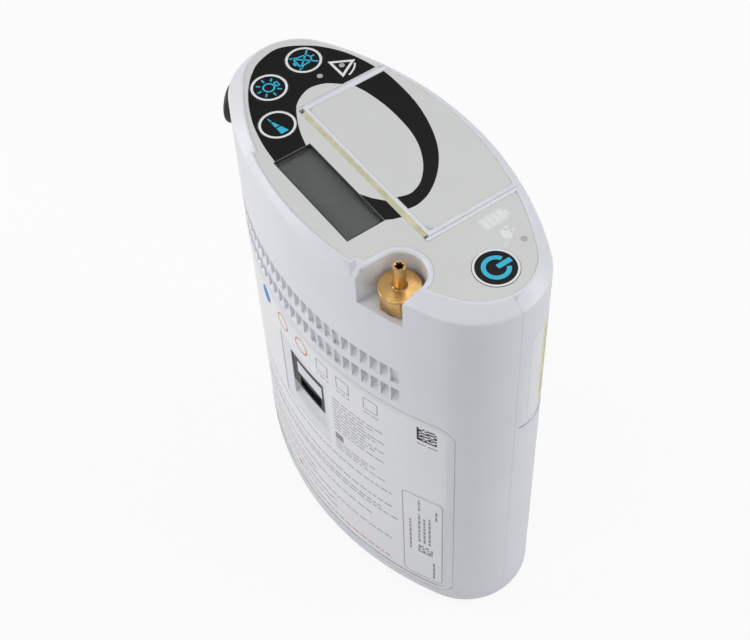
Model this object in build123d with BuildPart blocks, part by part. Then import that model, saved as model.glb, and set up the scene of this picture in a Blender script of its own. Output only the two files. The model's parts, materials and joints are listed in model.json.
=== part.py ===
from build123d import *
from math import atan2, cos, hypot, radians, sin, sqrt
import os

# A portable oxygen concentrator: a tall two-part housing with a lens-shaped
# plan, a slide-in battery in its upper back, and a compressor with two sieve
# beds below. Millimetres, +Z up, the front faces -Y, the origin is the centre
# of the footprint on the surface it stands on.

# ---- Housing: driving dimensions ----
length = 190.0
width = 96.0
height = 240.0
tip_radius = 32.0
wall = 2.5
foot_height = 1.2           # gap under the housing, held by the feet
bezel_drop = 4.0            # height of the sloping bezel round the top
deck_thickness = 2.6
parting_gap = 0.12          # fine line between the front and back halves
bottom_rounding = 3.0

# Flat top inside the bezel: a front and a back arc joined by two round tips.
top_front_radius = 137.1
top_back_radius = 154.0
top_left_tip = (-67.4, 1.5)
top_left_radius = 24.2
top_right_tip = (63.4, 2.2)
top_right_radius = 24.7
tab_left = -39.5            # front tab that carries the panel towards the rim
tab_right = 35.5
tab_margin = 2.8
tab_draft = 3.0

# ---- Battery ----
battery_left = -48.6
battery_right = 43.6
battery_front = -7.5
battery_bottom = height - 89.0
battery_gap = 0.3
battery_wall = 2.0
cap_height = 12.0
seal_thickness = 1.9
cell_radius = 9.2
cell_length = 65.0
cell_pitch = 19.5
cell_columns = 4
cell_rows = 2

# ---- Battery bay ----
bay_wall = 1.6
bay_floor = 2.5

# ---- Control panel ----
membrane_thickness = 0.5
membrane_recess = 0.6
membrane_margin = 0.9
panel_fit = 0.15
rim_border = 1.9            # white edge of the housing left beside the battery
rim_fit = 0.2               # between a white edge and the membrane
power_radius = 9.9
key_radius = 8.5
key_gap = 0.15
key_rise = 0.15
power_place = (72.9, 3.6)
alarm_place = (-73.6, 9.7)
light_place = (-68.2, -12.3)
flow_place = (-46.7, -22.0)
led_places = [(-60.5, 21.5), (-60.8, 9.8), (67.8, 22.0)]
led_radius = 1.3
led_gap = 0.1
lcd_left = -28.8
lcd_right = 25.8
lcd_front = -35.7
lcd_back = -17.1
lcd_depth = 1.4
lcd_glass = 1.4
board_thickness = 1.6
board_top = height - 8.4
switch_height = 4.0

# ---- Oxygen outlet ----
outlet_x = 51.9
outlet_y = -28.6
outlet_radius = 11.0
outlet_floor = height - 19.0
outlet_floor_thickness = 2.2
outlet_wall = 2.2
hex_flats = 16.0
hex_angle = -98.0
hex_top = height - 8.0
barb_radius = 2.75
barb_top = height + 4.5
barb_bore = 1.9
stem_radius = 5.0
stem_gap = 0.05
gasket_thickness = 0.8
nut_flats = 13.0
nut_height = 4.0

# ---- Vents on the front ----
vent_pitch = 5.43
vent_width = 4.4
vent_height = 9.8
vent_first = 30.2           # left edge of the first right-hand slot, along the wall
vent_tops = [height - 51.6, height - 65.9]
vent_right_count = 6
vent_blind_count = 4
vent_left_count = 15
vent_blind_depth = 1.6
vent_rib = 3.0              # thickening behind the slots

# ---- Labels on the front ----
label_recess = 0.5
label_sheet = 0.3
label_half = 85.0
label_bottom = 12.0
label_top = height - 84.5
label_corner = 5.0
label_groove = (3.2, 0.6, 0.4)   # fine groove round the label: distance, width, depth
rating_left = 60.5
rating_right = 84.0
rating_bottom = 14.0
rating_top = 94.0
rating_sheet = 0.25
side_sheet = 0.22
window_left = -24.0
window_right = 16.0
window_bottom = 87.0
window_top = 137.0

# ---- Power inlet ----
inlet_left = -14.5
inlet_right = 13.0
inlet_bottom = 107.5
inlet_top = 132.0
scoop_bottom = 95.0
scoop_depth = 7.0
scoop_rise = 6.0
inlet_set = 1.0             # how far the face of the inlet lies behind the wall
inlet_depth = 20.0
inlet_gap = 0.2

# ---- Release button at the left tip ----
release_angle = -140.0
release_height = height - 19.0
release_radius = 9.5
release_gap = 0.25
release_dome = 2.9

# ---- Compressor ----
crank_height = 37.0
case_half = 20.0
case_back = 0.0
case_front = -33.0
case_wall = 3.0
shaft_radius = 2.5
bearing_gap = 0.03
throw = 2.5
eccentric_radius = 6.0
piston_radius = 10.0
piston_gap = 0.06
piston_stroke = 2.5
rod_thickness = 4.6
rod_bore = eccentric_radius + throw + piston_stroke + 0.3
rod_ring = 2.6
sleeve_wall = 3.0
sleeve_length = 18.0
head_thickness = 7.5
head_side = 27.0
motor_radius = 22.0
motor_length = 34.0
stator_bore = 13.0
rotor_radius = 12.4

# ---- Sieve beds ----
bed_x = 68.0
bed_radius = 20.0
bed_wall = 1.6
bed_bottom = 10.2
bed_top = 138.0
bed_cap = 6.0

# ---- Tank, valves, boards ----
tank_radius = 14.0
tank_half = 38.0
tank_y = 22.0
tank_z = 92.0
manifold_half = 36.0
valve_x = 23.0
valve_y = -9.0
valve_radius = 8.0
coil_height = 20.0
plunger_radius = 3.0
plunger_gap = 0.08
plunger_travel = 1.5

# ---- Fan ----
fan_z = height - 56.0
fan_side = 60.0
fan_depth = 15.0
fan_front = -39.0
fan_hub = 12.5
fan_tip = 27.3
fan_bore = 28.3
fan_blades = 7

half_length = length / 2
half_width = width / 2
crease_z = height - bezel_drop
deck_under = height - deck_thickness
side_radius = ((half_length - tip_radius) ** 2 + half_width**2 - tip_radius**2) / (
    2 * (half_width - tip_radius)
)
side_y = side_radius - half_width
tip_x = half_length - tip_radius
blend_angle = atan2(tip_x, side_y)   # where a side arc meets a tip arc, from the Y axis

os.makedirs("parts", exist_ok=True)


def save(builder, name):
    builder.part.label = name
    export_step(builder.part, f"parts/{name}.step")


def lens(inset=0.0):
    """Plan of the housing, drawn in by an inset all round."""
    r_side = side_radius - inset
    r_tip = tip_radius - inset
    meet_x = r_side * sin(blend_angle)
    meet_y = r_side * cos(blend_angle) - side_y
    with BuildSketch() as plan:
        with BuildLine():
            ThreePointArc((-meet_x, -meet_y), (0, -half_width + inset), (meet_x, -meet_y))
            ThreePointArc((meet_x, -meet_y), (tip_x + r_tip, 0), (meet_x, meet_y))
            ThreePointArc((meet_x, meet_y), (0, half_width - inset), (-meet_x, meet_y))
            ThreePointArc((-meet_x, meet_y), (-tip_x - r_tip, 0), (-meet_x, -meet_y))
        make_face()
    return plan.sketch


def wrapping_centre(tips, radii, side_r, side):
    """Centre of the arc that wraps both tip circles: side is 1 behind them, -1 in front."""
    dx = tips[1][0] - tips[0][0]
    dy = tips[1][1] - tips[0][1]
    span = hypot(dx, dy)
    along = ((side_r - radii[0]) ** 2 - (side_r - radii[1]) ** 2 + span**2) / (2 * span)
    off = side * sqrt((side_r - radii[0]) ** 2 - along**2)
    return (
        tips[0][0] + (along * dx - off * dy) / span,
        tips[0][1] + (along * dy + off * dx) / span,
    )


def bezel_plan(share, inset=0.0):
    """Plan of the bezel: share is 0 at the wall and 1 at the flat top."""
    def mix(at_wall, at_top):
        return at_wall + (at_top - at_wall) * share

    tips = [
        (mix(-tip_x, top_left_tip[0]), mix(0, top_left_tip[1])),
        (mix(tip_x, top_right_tip[0]), mix(0, top_right_tip[1])),
    ]
    radii = [mix(tip_radius, top_left_radius), mix(tip_radius, top_right_radius)]
    front_r = mix(side_radius, top_front_radius)
    back_r = mix(side_radius, top_back_radius)
    front = wrapping_centre(tips, radii, front_r, 1)
    back = wrapping_centre(tips, radii, back_r, -1)

    def meet(centre, tip, reach):
        k = (reach - inset) / hypot(tip[0] - centre[0], tip[1] - centre[1])
        return (centre[0] + k * (tip[0] - centre[0]), centre[1] + k * (tip[1] - centre[1]))

    front_left = meet(front, tips[0], front_r)
    front_right = meet(front, tips[1], front_r)
    back_left = meet(back, tips[0], back_r)
    back_right = meet(back, tips[1], back_r)
    with BuildSketch() as plan:
        with BuildLine():
            ThreePointArc(front_left, (front[0], front[1] - front_r + inset), front_right)
            ThreePointArc(front_right, (tips[1][0] + radii[1] - inset, tips[1][1]), back_right)
            ThreePointArc(back_right, (back[0], back[1] + back_r - inset), back_left)
            ThreePointArc(back_left, (tips[0][0] - radii[0] + inset, tips[0][1]), front_left)
        make_face()
    return plan.sketch


def top_plan(inset=0.0):
    """Plan of the flat top inside the bezel."""
    return bezel_plan(1, inset)


def tab_plan(inset, spread):
    """Plan of the tab: its front edge runs along the wall, its sides are straight."""
    with BuildSketch() as plan:
        add(lens(inset))
        with Locations(((tab_left + tab_right) / 2, -half_width * 0.75)):
            Rectangle(tab_right - tab_left + 2 * spread, half_width, mode=Mode.INTERSECT)
    return plan.sketch


def panel_plan(gap=0.0):
    """Plan of the control membrane before the battery and the outlet are cut out."""
    with BuildSketch() as plan:
        add(top_plan(membrane_margin + gap))
        add(tab_plan(tab_margin + membrane_margin + gap, -membrane_margin - gap))
    return plan.sketch


def block(x0, x1, y0, y1, z0, z1, mode=Mode.ADD):
    with Locations(((x0 + x1) / 2, (y0 + y1) / 2, (z0 + z1) / 2)):
        Box(abs(x1 - x0), abs(y1 - y0), abs(z1 - z0), mode=mode)


def rod(x, y, z0, z1, radius, mode=Mode.ADD):
    with Locations((x, y, (z0 + z1) / 2)):
        Cylinder(radius, z1 - z0, mode=mode)


def rod_y(x, z, y0, y1, radius, mode=Mode.ADD):
    with Locations(Location((x, (y0 + y1) / 2, z), (90, 0, 0))):
        Cylinder(radius, y1 - y0, mode=mode)


def rod_x(y, z, x0, x1, radius, mode=Mode.ADD):
    with Locations(Location(((x0 + x1) / 2, y, z), (0, 90, 0))):
        Cylinder(radius, x1 - x0, mode=mode)


def prism(face, z0, z1):
    """A solid with the given plan between two heights."""
    with BuildPart() as solid:
        with BuildSketch(Plane.XY.offset(z0)):
            add(face)
        extrude(amount=z1 - z0)
    return solid.part


def wall_x(s):
    """X of the point on the front wall, s along the wall from its middle."""
    arc = side_radius * blend_angle
    if abs(s) <= arc:
        return side_radius * sin(s / side_radius)
    turn = blend_angle + (abs(s) - arc) / tip_radius
    return (tip_x + tip_radius * sin(turn)) * (1 if s > 0 else -1)


def wall_plane(s, z, inset=0.0):
    """Plane on the front wall, its Z axis pointing out of the housing."""
    turn = s / side_radius
    r = side_radius - inset
    return Plane(
        origin=(r * sin(turn), side_y - r * cos(turn), z),
        x_dir=(cos(turn), sin(turn), 0),
        z_dir=(sin(turn), -cos(turn), 0),
    )


def wall_sheet(depth_out, depth_in, s0, s1, z0, z1, corner):
    """Thin curved sheet that follows the front wall between two insets."""
    x0 = wall_x(s0)
    x1 = wall_x(s1)
    with BuildPart() as sheet:
        with BuildSketch(Plane.XZ.offset(0)):
            with Locations(((x0 + x1) / 2, (z0 + z1) / 2)):
                RectangleRounded(x1 - x0, z1 - z0, corner)
        extrude(amount=width)
        add(prism(lens(depth_out), z0 - 1, z1 + 1), mode=Mode.INTERSECT)
        add(prism(lens(depth_in), z0 - 2, z1 + 2), mode=Mode.SUBTRACT)
    return sheet.part


# The bezel leaves the wall over a soft crease and runs out softly into the top.
# Each step: share of the way in from the wall, height below the top.
bezel_steps = [(0, 5.1), (0.02, 4.5), (0.07, 3.95), (0.16, 3.4), (0.8, 0.75), (0.92, 0.25), (1, 0)]

# ---- Outer form: straight wall, then the bezel sloping in to the flat top ----
with BuildPart() as outer_form:
    with BuildSketch(Plane.XY.offset(foot_height)):
        add(lens())
    extrude(amount=height - bezel_steps[0][1] - foot_height)
    fillet(outer_form.edges().group_by(Axis.Z)[0], bottom_rounding)
    for lower, upper in zip(bezel_steps, bezel_steps[1:]):
        for share, drop in (lower, upper):
            with BuildSketch(Plane.XY.offset(height - drop)):
                add(bezel_plan(share))
        loft(ruled=True)
    # the tab keeps the top flat nearly to the front wall
    for lower, upper in zip(bezel_steps, bezel_steps[1:]):
        for share, drop in (lower, upper):
            with BuildSketch(Plane.XY.offset(height - drop)):
                add(tab_plan(tab_margin * share, tab_draft * (1 - share)))
        loft(ruled=True)

# ---- Hollow housing, before it is parted ----
bay_left = battery_left - battery_gap
bay_right = battery_right + battery_gap
bay_front = battery_front - seal_thickness - battery_gap
bay_bottom = battery_bottom - battery_gap

with BuildPart() as housing:
    add(outer_form.part)
    add(prism(lens(wall), 0, crease_z - 2), mode=Mode.SUBTRACT)
    add(prism(top_plan(wall - 0.5), crease_z - 3, deck_under), mode=Mode.SUBTRACT)
    # battery opening through the top and the back wall
    block(bay_left, bay_right, bay_front, width, bay_bottom, height + 1, mode=Mode.SUBTRACT)
    # seat for the control membrane, then the rim left standing beside the battery
    add(prism(panel_plan(), height - membrane_recess, height + 1), mode=Mode.SUBTRACT)
    with BuildSketch(Plane.XY.offset(height - membrane_recess - 0.5)):
        add(top_plan())
        with Locations((bay_right + (rim_border - rim_fit) / 2, (bay_front + width) / 2)):
            Rectangle(rim_border - rim_fit, width - bay_front, mode=Mode.INTERSECT)
    extrude(amount=membrane_recess + 0.5)


def housing_space(gap):
    """The space inside the housing's walls, drawn in by a gap."""
    with BuildPart() as space:
        add(prism(lens(wall + gap), 0, crease_z - 2 - gap))
        add(prism(top_plan(wall - 0.5 + gap), crease_z - 3, deck_under - gap))
    return space.part


key_places = [
    ("power_button", power_place, power_radius),
    ("alarm_button", alarm_place, key_radius),
    ("light_button", light_place, key_radius),
    ("flow_button", flow_place, key_radius),
]


def cut_panel_holes(z0, z1, gap):
    """Holes for the keys and the indicator lights between two heights."""
    for _, place, radius in key_places:
        rod(place[0], place[1], z0, z1, radius + gap, mode=Mode.SUBTRACT)
    for place in led_places:
        rod(place[0], place[1], z0, z1, led_radius + led_gap, mode=Mode.SUBTRACT)


# ---- Vent slots: rows of narrow windows along the front wall ----
vent_slots = []
for column in range(-vent_left_count - vent_blind_count, vent_right_count):
    blind = -vent_blind_count <= column < 0
    centre = vent_first + vent_width / 2 + column * vent_pitch
    for row, top in enumerate(vent_tops):
        last = row == 0 and column == vent_right_count - 1
        depth = vent_blind_depth if blind or last else wall + vent_rib + 2
        vent_slots.append((centre, top - vent_height / 2, depth))



def vent_plug(depth):
    """The room of one slot, centred on its mouth: an open slot's sill rises inwards."""
    sill = vent_height / 2
    with BuildPart() as plug:
        with BuildSketch(Plane.YZ):
            Rectangle(vent_height, 2 * depth)
            if depth > wall:
                with BuildLine():
                    Polyline((-sill, 0), (0, -sill), (0, -depth - 1), (-sill, -depth - 1), close=True)
                make_face(mode=Mode.SUBTRACT)
        extrude(amount=vent_width / 2, both=True)
    return plug.part


vent_s0 = vent_first - (vent_left_count + vent_blind_count) * vent_pitch - 3
vent_s1 = vent_first + vent_right_count * vent_pitch + 3
vent_z0 = vent_tops[1] - vent_height - 4
vent_z1 = vent_tops[0] + 4

pocket_left = outlet_x - outlet_radius
pocket_right = outlet_x + outlet_radius
boss_radius = outlet_radius + outlet_wall
boss_floor = outlet_floor - outlet_floor_thickness


def pocket_plan(grow=0.0):
    """Plan of the outlet pocket: round behind, its straight sides open to the front."""
    with BuildSketch() as plan:
        with Locations((outlet_x, outlet_y)):
            Circle(outlet_radius + grow)
        with Locations((outlet_x, outlet_y - half_width / 2)):
            Rectangle(2 * (outlet_radius + grow), half_width)
    return plan.sketch


# White lip of the housing that stands round the pocket, level with the panel.
rim_radius = outlet_radius + outlet_wall + 0.6
rim_soft = [(1.0, 0.0), (0.45, 0.25), (0.0, 0.95)]   # rounding: depth below the top, flare

with BuildPart() as outlet_lip:
    add(prism(pocket_plan(rim_radius - rim_fit - outlet_radius), height - membrane_recess - 0.5,
              height))
    add(outer_form.part, mode=Mode.INTERSECT)

with BuildPart() as outlet_pocket:
    add(prism(pocket_plan(), outlet_floor, height + 1))
    for lower, upper in zip(rim_soft, rim_soft[1:]):
        for drop, flare in (lower, upper):
            with BuildSketch(Plane.XY.offset(height - drop)):
                add(pocket_plan(flare))
        loft(ruled=True)

with BuildPart() as outlet_boss:
    rod(outlet_x, outlet_y, boss_floor, height - 1.5, boss_radius)
    block(pocket_left - outlet_wall, pocket_right + outlet_wall, -width, outlet_y,
          boss_floor, height - 1.5)
    add(outer_form.part, mode=Mode.INTERSECT)

release_dir = (cos(radians(release_angle)), sin(radians(release_angle)), 0)
release_plane = Plane(
    origin=(
        -tip_x + tip_radius * release_dir[0],
        tip_radius * release_dir[1],
        release_height,
    ),
    x_dir=(-release_dir[1], release_dir[0], 0),
    z_dir=release_dir,
)

# Cup that holds and guides the release button behind the wall.
cup_wall = 1.6
cup_depth = 10.0
cup_floor = 2.0
stem_width = 3.0
guide_gap = 0.06

with BuildPart() as release_cup:
    with Locations(release_plane.offset(-cup_depth / 2 + 1)):
        Cylinder(release_radius + release_gap + cup_wall, cup_depth + 2)
    add(outer_form.part, mode=Mode.INTERSECT)

# Bosses where screws pull the two halves together, seen along Y.
boss_places = [
    (-84.5, height - 89.0),
    (84.5, height - 89.0),
    (-84.5, height - 54.0),
    (84.5, height - 32.0),
]
boss_outer = 3.6
screw_radius = 1.5
screw_hole = 1.56
screw_head = 2.8
screw_sink = 18.0           # distance of a screw's head seat from the parting plane
base_screws = [(-40.0, -37.5), (40.0, -37.5), (-40.0, 37.5), (40.0, 37.5)]
base_thickness = 3.0
base_top = foot_height + base_thickness
base_boss_top = 16.0


# Backing of the scoop under the power inlet: it closes the wall behind the slope.
scoop_wall = 2.0

with BuildPart() as scoop_backing:
    block(inlet_left - scoop_wall, inlet_right + scoop_wall, -half_width,
          -half_width + scoop_depth + scoop_wall, scoop_bottom - scoop_wall, inlet_bottom)
    add(outer_form.part, mode=Mode.INTERSECT)


def shell_bosses(side):
    """Screw bosses on one half: side is -1 in front and 1 behind."""
    with BuildPart() as bosses:
        for x, z in boss_places:
            rod_y(x, z, *sorted((side * parting_gap / 2, side * half_width)), boss_outer)
        for x, y in base_screws:
            if y * side > 0:
                rod(x, y, base_top + 0.1, base_boss_top, boss_outer)
                block(x - boss_outer, x + boss_outer, *sorted((y, side * half_width)),
                      base_top + 0.1, base_boss_top)
        add(outer_form.part, mode=Mode.INTERSECT)
    return bosses.part


groove_away, groove_width, groove_depth = label_groove
with BuildPart() as groove_ring:
    for grow, mode in ((groove_away + groove_width, Mode.ADD), (groove_away, Mode.SUBTRACT)):
        add(wall_sheet(-1, groove_depth if mode == Mode.ADD else groove_depth + 1,
                       -label_half - grow, label_half + grow, label_bottom - grow,
                       label_top + grow, label_corner + grow), mode=mode)

with BuildPart() as front_shell:
    add(housing.part)
    block(-length, length, parting_gap / 2 - width, -parting_gap / 2, 0, height + 1,
          mode=Mode.INTERSECT)
    add(wall_sheet(wall - 0.5, wall + vent_rib, vent_s0, vent_s1, vent_z0, vent_z1, 2))
    add(outlet_boss.part)
    add(release_cup.part)
    add(scoop_backing.part)
    add(shell_bosses(-1))
    add(outlet_lip.part)
    add(outlet_pocket.part, mode=Mode.SUBTRACT)
    rod(outlet_x, outlet_y, boss_floor - 1, outlet_floor + 1, stem_radius + stem_gap,
        mode=Mode.SUBTRACT)
    cut_panel_holes(deck_under - 3, height + 1, key_gap)
    block(lcd_left, lcd_right, lcd_front, lcd_back, deck_under - 3, height + 1,
          mode=Mode.SUBTRACT)
    for s, z, depth in vent_slots:
        with Locations(wall_plane(s, z)):
            add(vent_plug(depth), mode=Mode.SUBTRACT)
    # well and bore for the release button
    with Locations(release_plane.offset(20 - cup_depth + cup_floor)):
        Cylinder(release_radius + release_gap, 40, mode=Mode.SUBTRACT)
    with Locations(release_plane):
        Cylinder(stem_width + guide_gap, 4 * cup_depth, mode=Mode.SUBTRACT)
    # screw holes
    for x, z in boss_places:
        rod_y(x, z, -screw_sink + 2, 1, screw_hole, mode=Mode.SUBTRACT)
    for x, y in base_screws:
        if y < 0:
            rod(x, y, 0, base_boss_top - 3, screw_hole, mode=Mode.SUBTRACT)
    # recess for the front label, with its raised border left standing
    add(wall_sheet(-1, label_recess, -label_half, label_half, label_bottom, label_top,
                   label_corner), mode=Mode.SUBTRACT)
    add(groove_ring.part, mode=Mode.SUBTRACT)
    # mouth of the power inlet with the scoop under it
    block(inlet_left, inlet_right, -width, -half_width + inlet_depth, inlet_bottom, inlet_top,
          mode=Mode.SUBTRACT)
    with BuildSketch(Plane.YZ.offset(inlet_left)):
        with BuildLine():
            Polyline(
                (-half_width - 1, scoop_bottom),
                (-half_width, scoop_bottom),
                (-half_width + scoop_depth, scoop_bottom + scoop_rise),
                (-half_width + scoop_depth, inlet_bottom + 0.5),
                (-half_width - 1, inlet_bottom + 0.5),
                close=True,
            )
        make_face()
    extrude(amount=inlet_right - inlet_left, mode=Mode.SUBTRACT)
save(front_shell, "front_shell")

# ---- Back half, with the shallow seat of the side label by the right tip ----
side_label_bottom = height - 87.0
side_label_top = height - 27.0
side_label_s0 = 8.5         # along the wall from the right tip towards the back
side_label_s1 = 34.0
side_label_corner = 3.0
side_seat_border = 6.5
side_seat_depth = 0.3


def tip_sheet(depth_out, depth_in, s0, s1, z0, z1, corner):
    """Curved sheet on the back of the right tip; s runs from the tip."""
    x0 = tip_x + tip_radius * cos(s1 / tip_radius)
    x1 = tip_x + tip_radius * cos(s0 / tip_radius)
    with BuildPart() as sheet:
        with BuildSketch(Plane.XZ):
            with Locations(((x0 + x1) / 2, (z0 + z1) / 2)):
                RectangleRounded(x1 - x0, z1 - z0, min(corner, (x1 - x0) / 2.2))
        extrude(amount=-width)
        add(prism(lens(depth_out), z0 - 1, z1 + 1), mode=Mode.INTERSECT)
        add(prism(lens(depth_in), z0 - 2, z1 + 2), mode=Mode.SUBTRACT)
    return sheet.part


with BuildPart() as back_shell:
    add(housing.part)
    block(-length, length, parting_gap / 2, width, 0, height + 1, mode=Mode.INTERSECT)
    add(shell_bosses(1))
    cut_panel_holes(deck_under - 3, height + 1, key_gap)
    add(tip_sheet(-1, side_seat_depth, side_label_s0 - side_seat_border,
                  side_label_s1 + side_seat_border, side_label_bottom - side_seat_border,
                  side_label_top + side_seat_border, 2 * side_label_corner), mode=Mode.SUBTRACT)
    for x, z in boss_places:
        rod_y(x, z, -1, screw_sink + 1, screw_hole, mode=Mode.SUBTRACT)
        rod_y(x, z, screw_sink, half_width, screw_head + 0.2, mode=Mode.SUBTRACT)
    for x, y in base_screws:
        if y > 0:
            rod(x, y, 0, base_boss_top - 3, screw_hole, mode=Mode.SUBTRACT)
save(back_shell, "back_shell")

# ---- Base plate, feet and screws ----
plate_gap = 0.3
foot_places = [(-62.0, -14.0), (62.0, -14.0), (-62.0, 14.0), (62.0, 14.0)]
foot_radius = 7.0
foot_seat = 0.9
base_slots = 9
base_slot_pitch = 8.0

with BuildPart() as base_plate:
    add(prism(lens(wall + plate_gap), foot_height, base_top))
    for x, y in foot_places:
        rod(x, y, 0, foot_height + foot_seat, foot_radius + 0.1, mode=Mode.SUBTRACT)
    for x, y in base_screws:
        rod(x, y, 0, base_top + 1, screw_hole, mode=Mode.SUBTRACT)
        rod(x, y, 0, foot_height + 1.6, screw_head + 0.2, mode=Mode.SUBTRACT)
    with Locations((0, 0, foot_height + base_thickness / 2)):
        with GridLocations(base_slot_pitch, 0, base_slots, 1):
            Box(3.2, 34, 2 * base_thickness, mode=Mode.SUBTRACT)
save(base_plate, "base_plate")

with BuildPart() as feet:
    for x, y in foot_places:
        rod(x, y, 0, foot_height + foot_seat, foot_radius)
    chamfer(feet.edges().group_by(Axis.Z)[0], 0.5)
save(feet, "feet")


def screw_along_y(x, z, head_y, tip_y):
    rod_y(x, z, tip_y, head_y, screw_radius)
    rod_y(x, z, head_y, head_y + 2.0, screw_head)
    rod_y(x, z, head_y + 1.0, head_y + 3.0, 1.1, mode=Mode.SUBTRACT)


with BuildPart() as housing_screws:
    for x, z in boss_places:
        screw_along_y(x, z, screw_sink, -screw_sink + 6)
    for x, y in base_screws:
        rod(x, y, foot_height + 1.6, base_boss_top - 4, screw_radius)
        rod(x, y, foot_height, foot_height + 1.6, screw_head)
        rod(x, y, foot_height - 1, foot_height + 0.9, 1.1, mode=Mode.SUBTRACT)
save(housing_screws, "housing_screws")

# ---- Control membrane, keys, indicator lights ----
membrane_z0 = height - membrane_recess
membrane_z1 = membrane_z0 + membrane_thickness

with BuildPart() as control_membrane:
    add(prism(panel_plan(panel_fit), membrane_z0, membrane_z1))
    block(bay_left - 1.2, bay_right + rim_border, bay_front - 0.4, width,
          membrane_z0 - 1, height + 1, mode=Mode.SUBTRACT)
    rod(outlet_x, outlet_y, membrane_z0 - 1, height + 1, rim_radius, mode=Mode.SUBTRACT)
    block(outlet_x - rim_radius, outlet_x + rim_radius, -width, outlet_y,
          membrane_z0 - 1, height + 1, mode=Mode.SUBTRACT)
    block(lcd_left - panel_fit, lcd_right + panel_fit, lcd_front - panel_fit,
          lcd_back + panel_fit, membrane_z0 - 1, height + 1, mode=Mode.SUBTRACT)
    cut_panel_holes(membrane_z0 - 1, height + 1, key_gap + 0.05)
    # the corner beside the battery at the back right is rounded
    fillet(control_membrane.edges().filter_by(Axis.Z).sort_by(Axis.Y)[-2:].sort_by(Axis.X)[-1:], 3)
save(control_membrane, "control_membrane")

key_height = 3.2
key_top = membrane_z1 + key_rise
for key_name, key_place, radius in key_places:
    with BuildPart() as key:
        rod(key_place[0], key_place[1], key_top - key_height, key_top, radius)
        fillet(key.edges().group_by(Axis.Z)[-1], 0.25)
    save(key, key_name)

with BuildPart() as indicator_lights:
    for x, y in led_places:
        rod(x, y, board_top, membrane_z1, led_radius)
save(indicator_lights, "indicator_lights")

# ---- Display ----
glass_fit = 0.15
glass_z1 = height - lcd_depth
glass_z0 = glass_z1 - lcd_glass

with BuildPart() as display_window:
    block(lcd_left + glass_fit, lcd_right - glass_fit, lcd_front + glass_fit,
          lcd_back - glass_fit, glass_z0, glass_z1)
save(display_window, "display_window")

with BuildPart() as display_module:
    block(lcd_left - 1.5, lcd_right + 1.5, lcd_front - 0.6, lcd_back + 1.5,
          board_top, glass_z0 - 0.2)
    block(lcd_left - 0.4, lcd_right + 0.4, lcd_front + 0.6, lcd_back + 0.4,
          glass_z0 - 1.0, glass_z0, mode=Mode.SUBTRACT)
save(display_module, "display_module")

# ---- Control board with its switches and buzzer ----
board_gap = 0.8
with BuildPart() as control_board:
    add(prism(top_plan(4.0), board_top - board_thickness, board_top))
    block(bay_left - bay_wall - board_gap, bay_right + bay_wall + board_gap,
          bay_front - bay_wall - board_gap, width, 0, height, mode=Mode.SUBTRACT)
    rod(outlet_x, outlet_y, 0, height, boss_radius + board_gap / 2, mode=Mode.SUBTRACT)
    block(pocket_left - outlet_wall - board_gap, width, -width, outlet_y + 2,
          0, height, mode=Mode.SUBTRACT)
    with Locations(release_plane):
        Cylinder(release_radius + release_gap + cup_wall + board_gap, 3 * cup_depth,
                 mode=Mode.SUBTRACT)
save(control_board, "control_board")

buzzer_place = (66.0, -4.0)

# ---- Oxygen outlet ----
fitting_foot = boss_floor - nut_height - 5
hose_barb_radius = 2.5
hose_barb_end = fitting_foot - 8
gasket_top = outlet_floor + gasket_thickness
flange_radius = 9.1
flange_thickness = 1.1
bore_teeth = 7

with BuildPart() as outlet_fitting:
    with BuildSketch(Plane.XY.offset(gasket_top)):
        with Locations((outlet_x, outlet_y)):
            RegularPolygon(hex_flats / 2, 6, major_radius=False, rotation=hex_angle)
    extrude(amount=hex_top - flange_thickness - gasket_top)
    rod(outlet_x, outlet_y, hex_top - flange_thickness, hex_top, flange_radius)
    chamfer(outlet_fitting.edges().group_by(Axis.Z)[-1], 0.35)
    rod(outlet_x, outlet_y, hex_top, hex_top + 0.7, barb_radius + 0.6)
    rod(outlet_x, outlet_y, hex_top, barb_top, barb_radius)
    chamfer(outlet_fitting.edges().group_by(Axis.Z)[-1], 0.3)
    rod(outlet_x, outlet_y, fitting_foot, gasket_top, stem_radius)
    rod(outlet_x, outlet_y, hose_barb_end, fitting_foot, hose_barb_radius)
    rod(outlet_x, outlet_y, hose_barb_end - 1, barb_top + 1, barb_bore, mode=Mode.SUBTRACT)
    with BuildSketch(Plane.XY.offset(barb_top - 4)):
        with Locations((outlet_x, outlet_y)):
            with PolarLocations(barb_bore, bore_teeth):
                Rectangle(1.0, 0.7)
    extrude(amount=3.7)
save(outlet_fitting, "outlet_fitting")

with BuildPart() as outlet_gasket:
    rod(outlet_x, outlet_y, outlet_floor, gasket_top, flange_radius - 1.2)
    rod(outlet_x, outlet_y, outlet_floor - 1, gasket_top + 1, stem_radius + stem_gap,
        mode=Mode.SUBTRACT)
save(outlet_gasket, "outlet_gasket")

with BuildPart() as outlet_nut:
    with BuildSketch(Plane.XY.offset(boss_floor - nut_height)):
        with Locations((outlet_x, outlet_y)):
            RegularPolygon(nut_flats / 2, 6, major_radius=False)
            Circle(stem_radius + stem_gap, mode=Mode.SUBTRACT)
    extrude(amount=nut_height)
save(outlet_nut, "outlet_nut")

# ---- Battery: case, cap, cells, contacts, seal ----
stem_end = -27.0            # inner end of the release button's stem
hook_start = release_plane.origin + release_plane.z_dir * stem_end
hook_front = hook_start.Y - 3.5
hook_back = hook_start.Y + 5.5
contact_places = (-15.0, -5.0, 5.0, 15.0)
cap_z0 = height - cap_height
label_side = 2.1            # border of the cap beside its label
label_front = 1.5


def battery_plan(inset, front_inset):
    """Plan of the space inside the battery's outer walls."""
    with BuildSketch() as plan:
        add(lens(inset))
        with Locations(((battery_left + battery_right) / 2,
                        (battery_front + front_inset + width) / 2)):
            Rectangle(battery_right - battery_left - 2 * inset,
                      width - battery_front - front_inset, mode=Mode.INTERSECT)
    return plan.sketch


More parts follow.
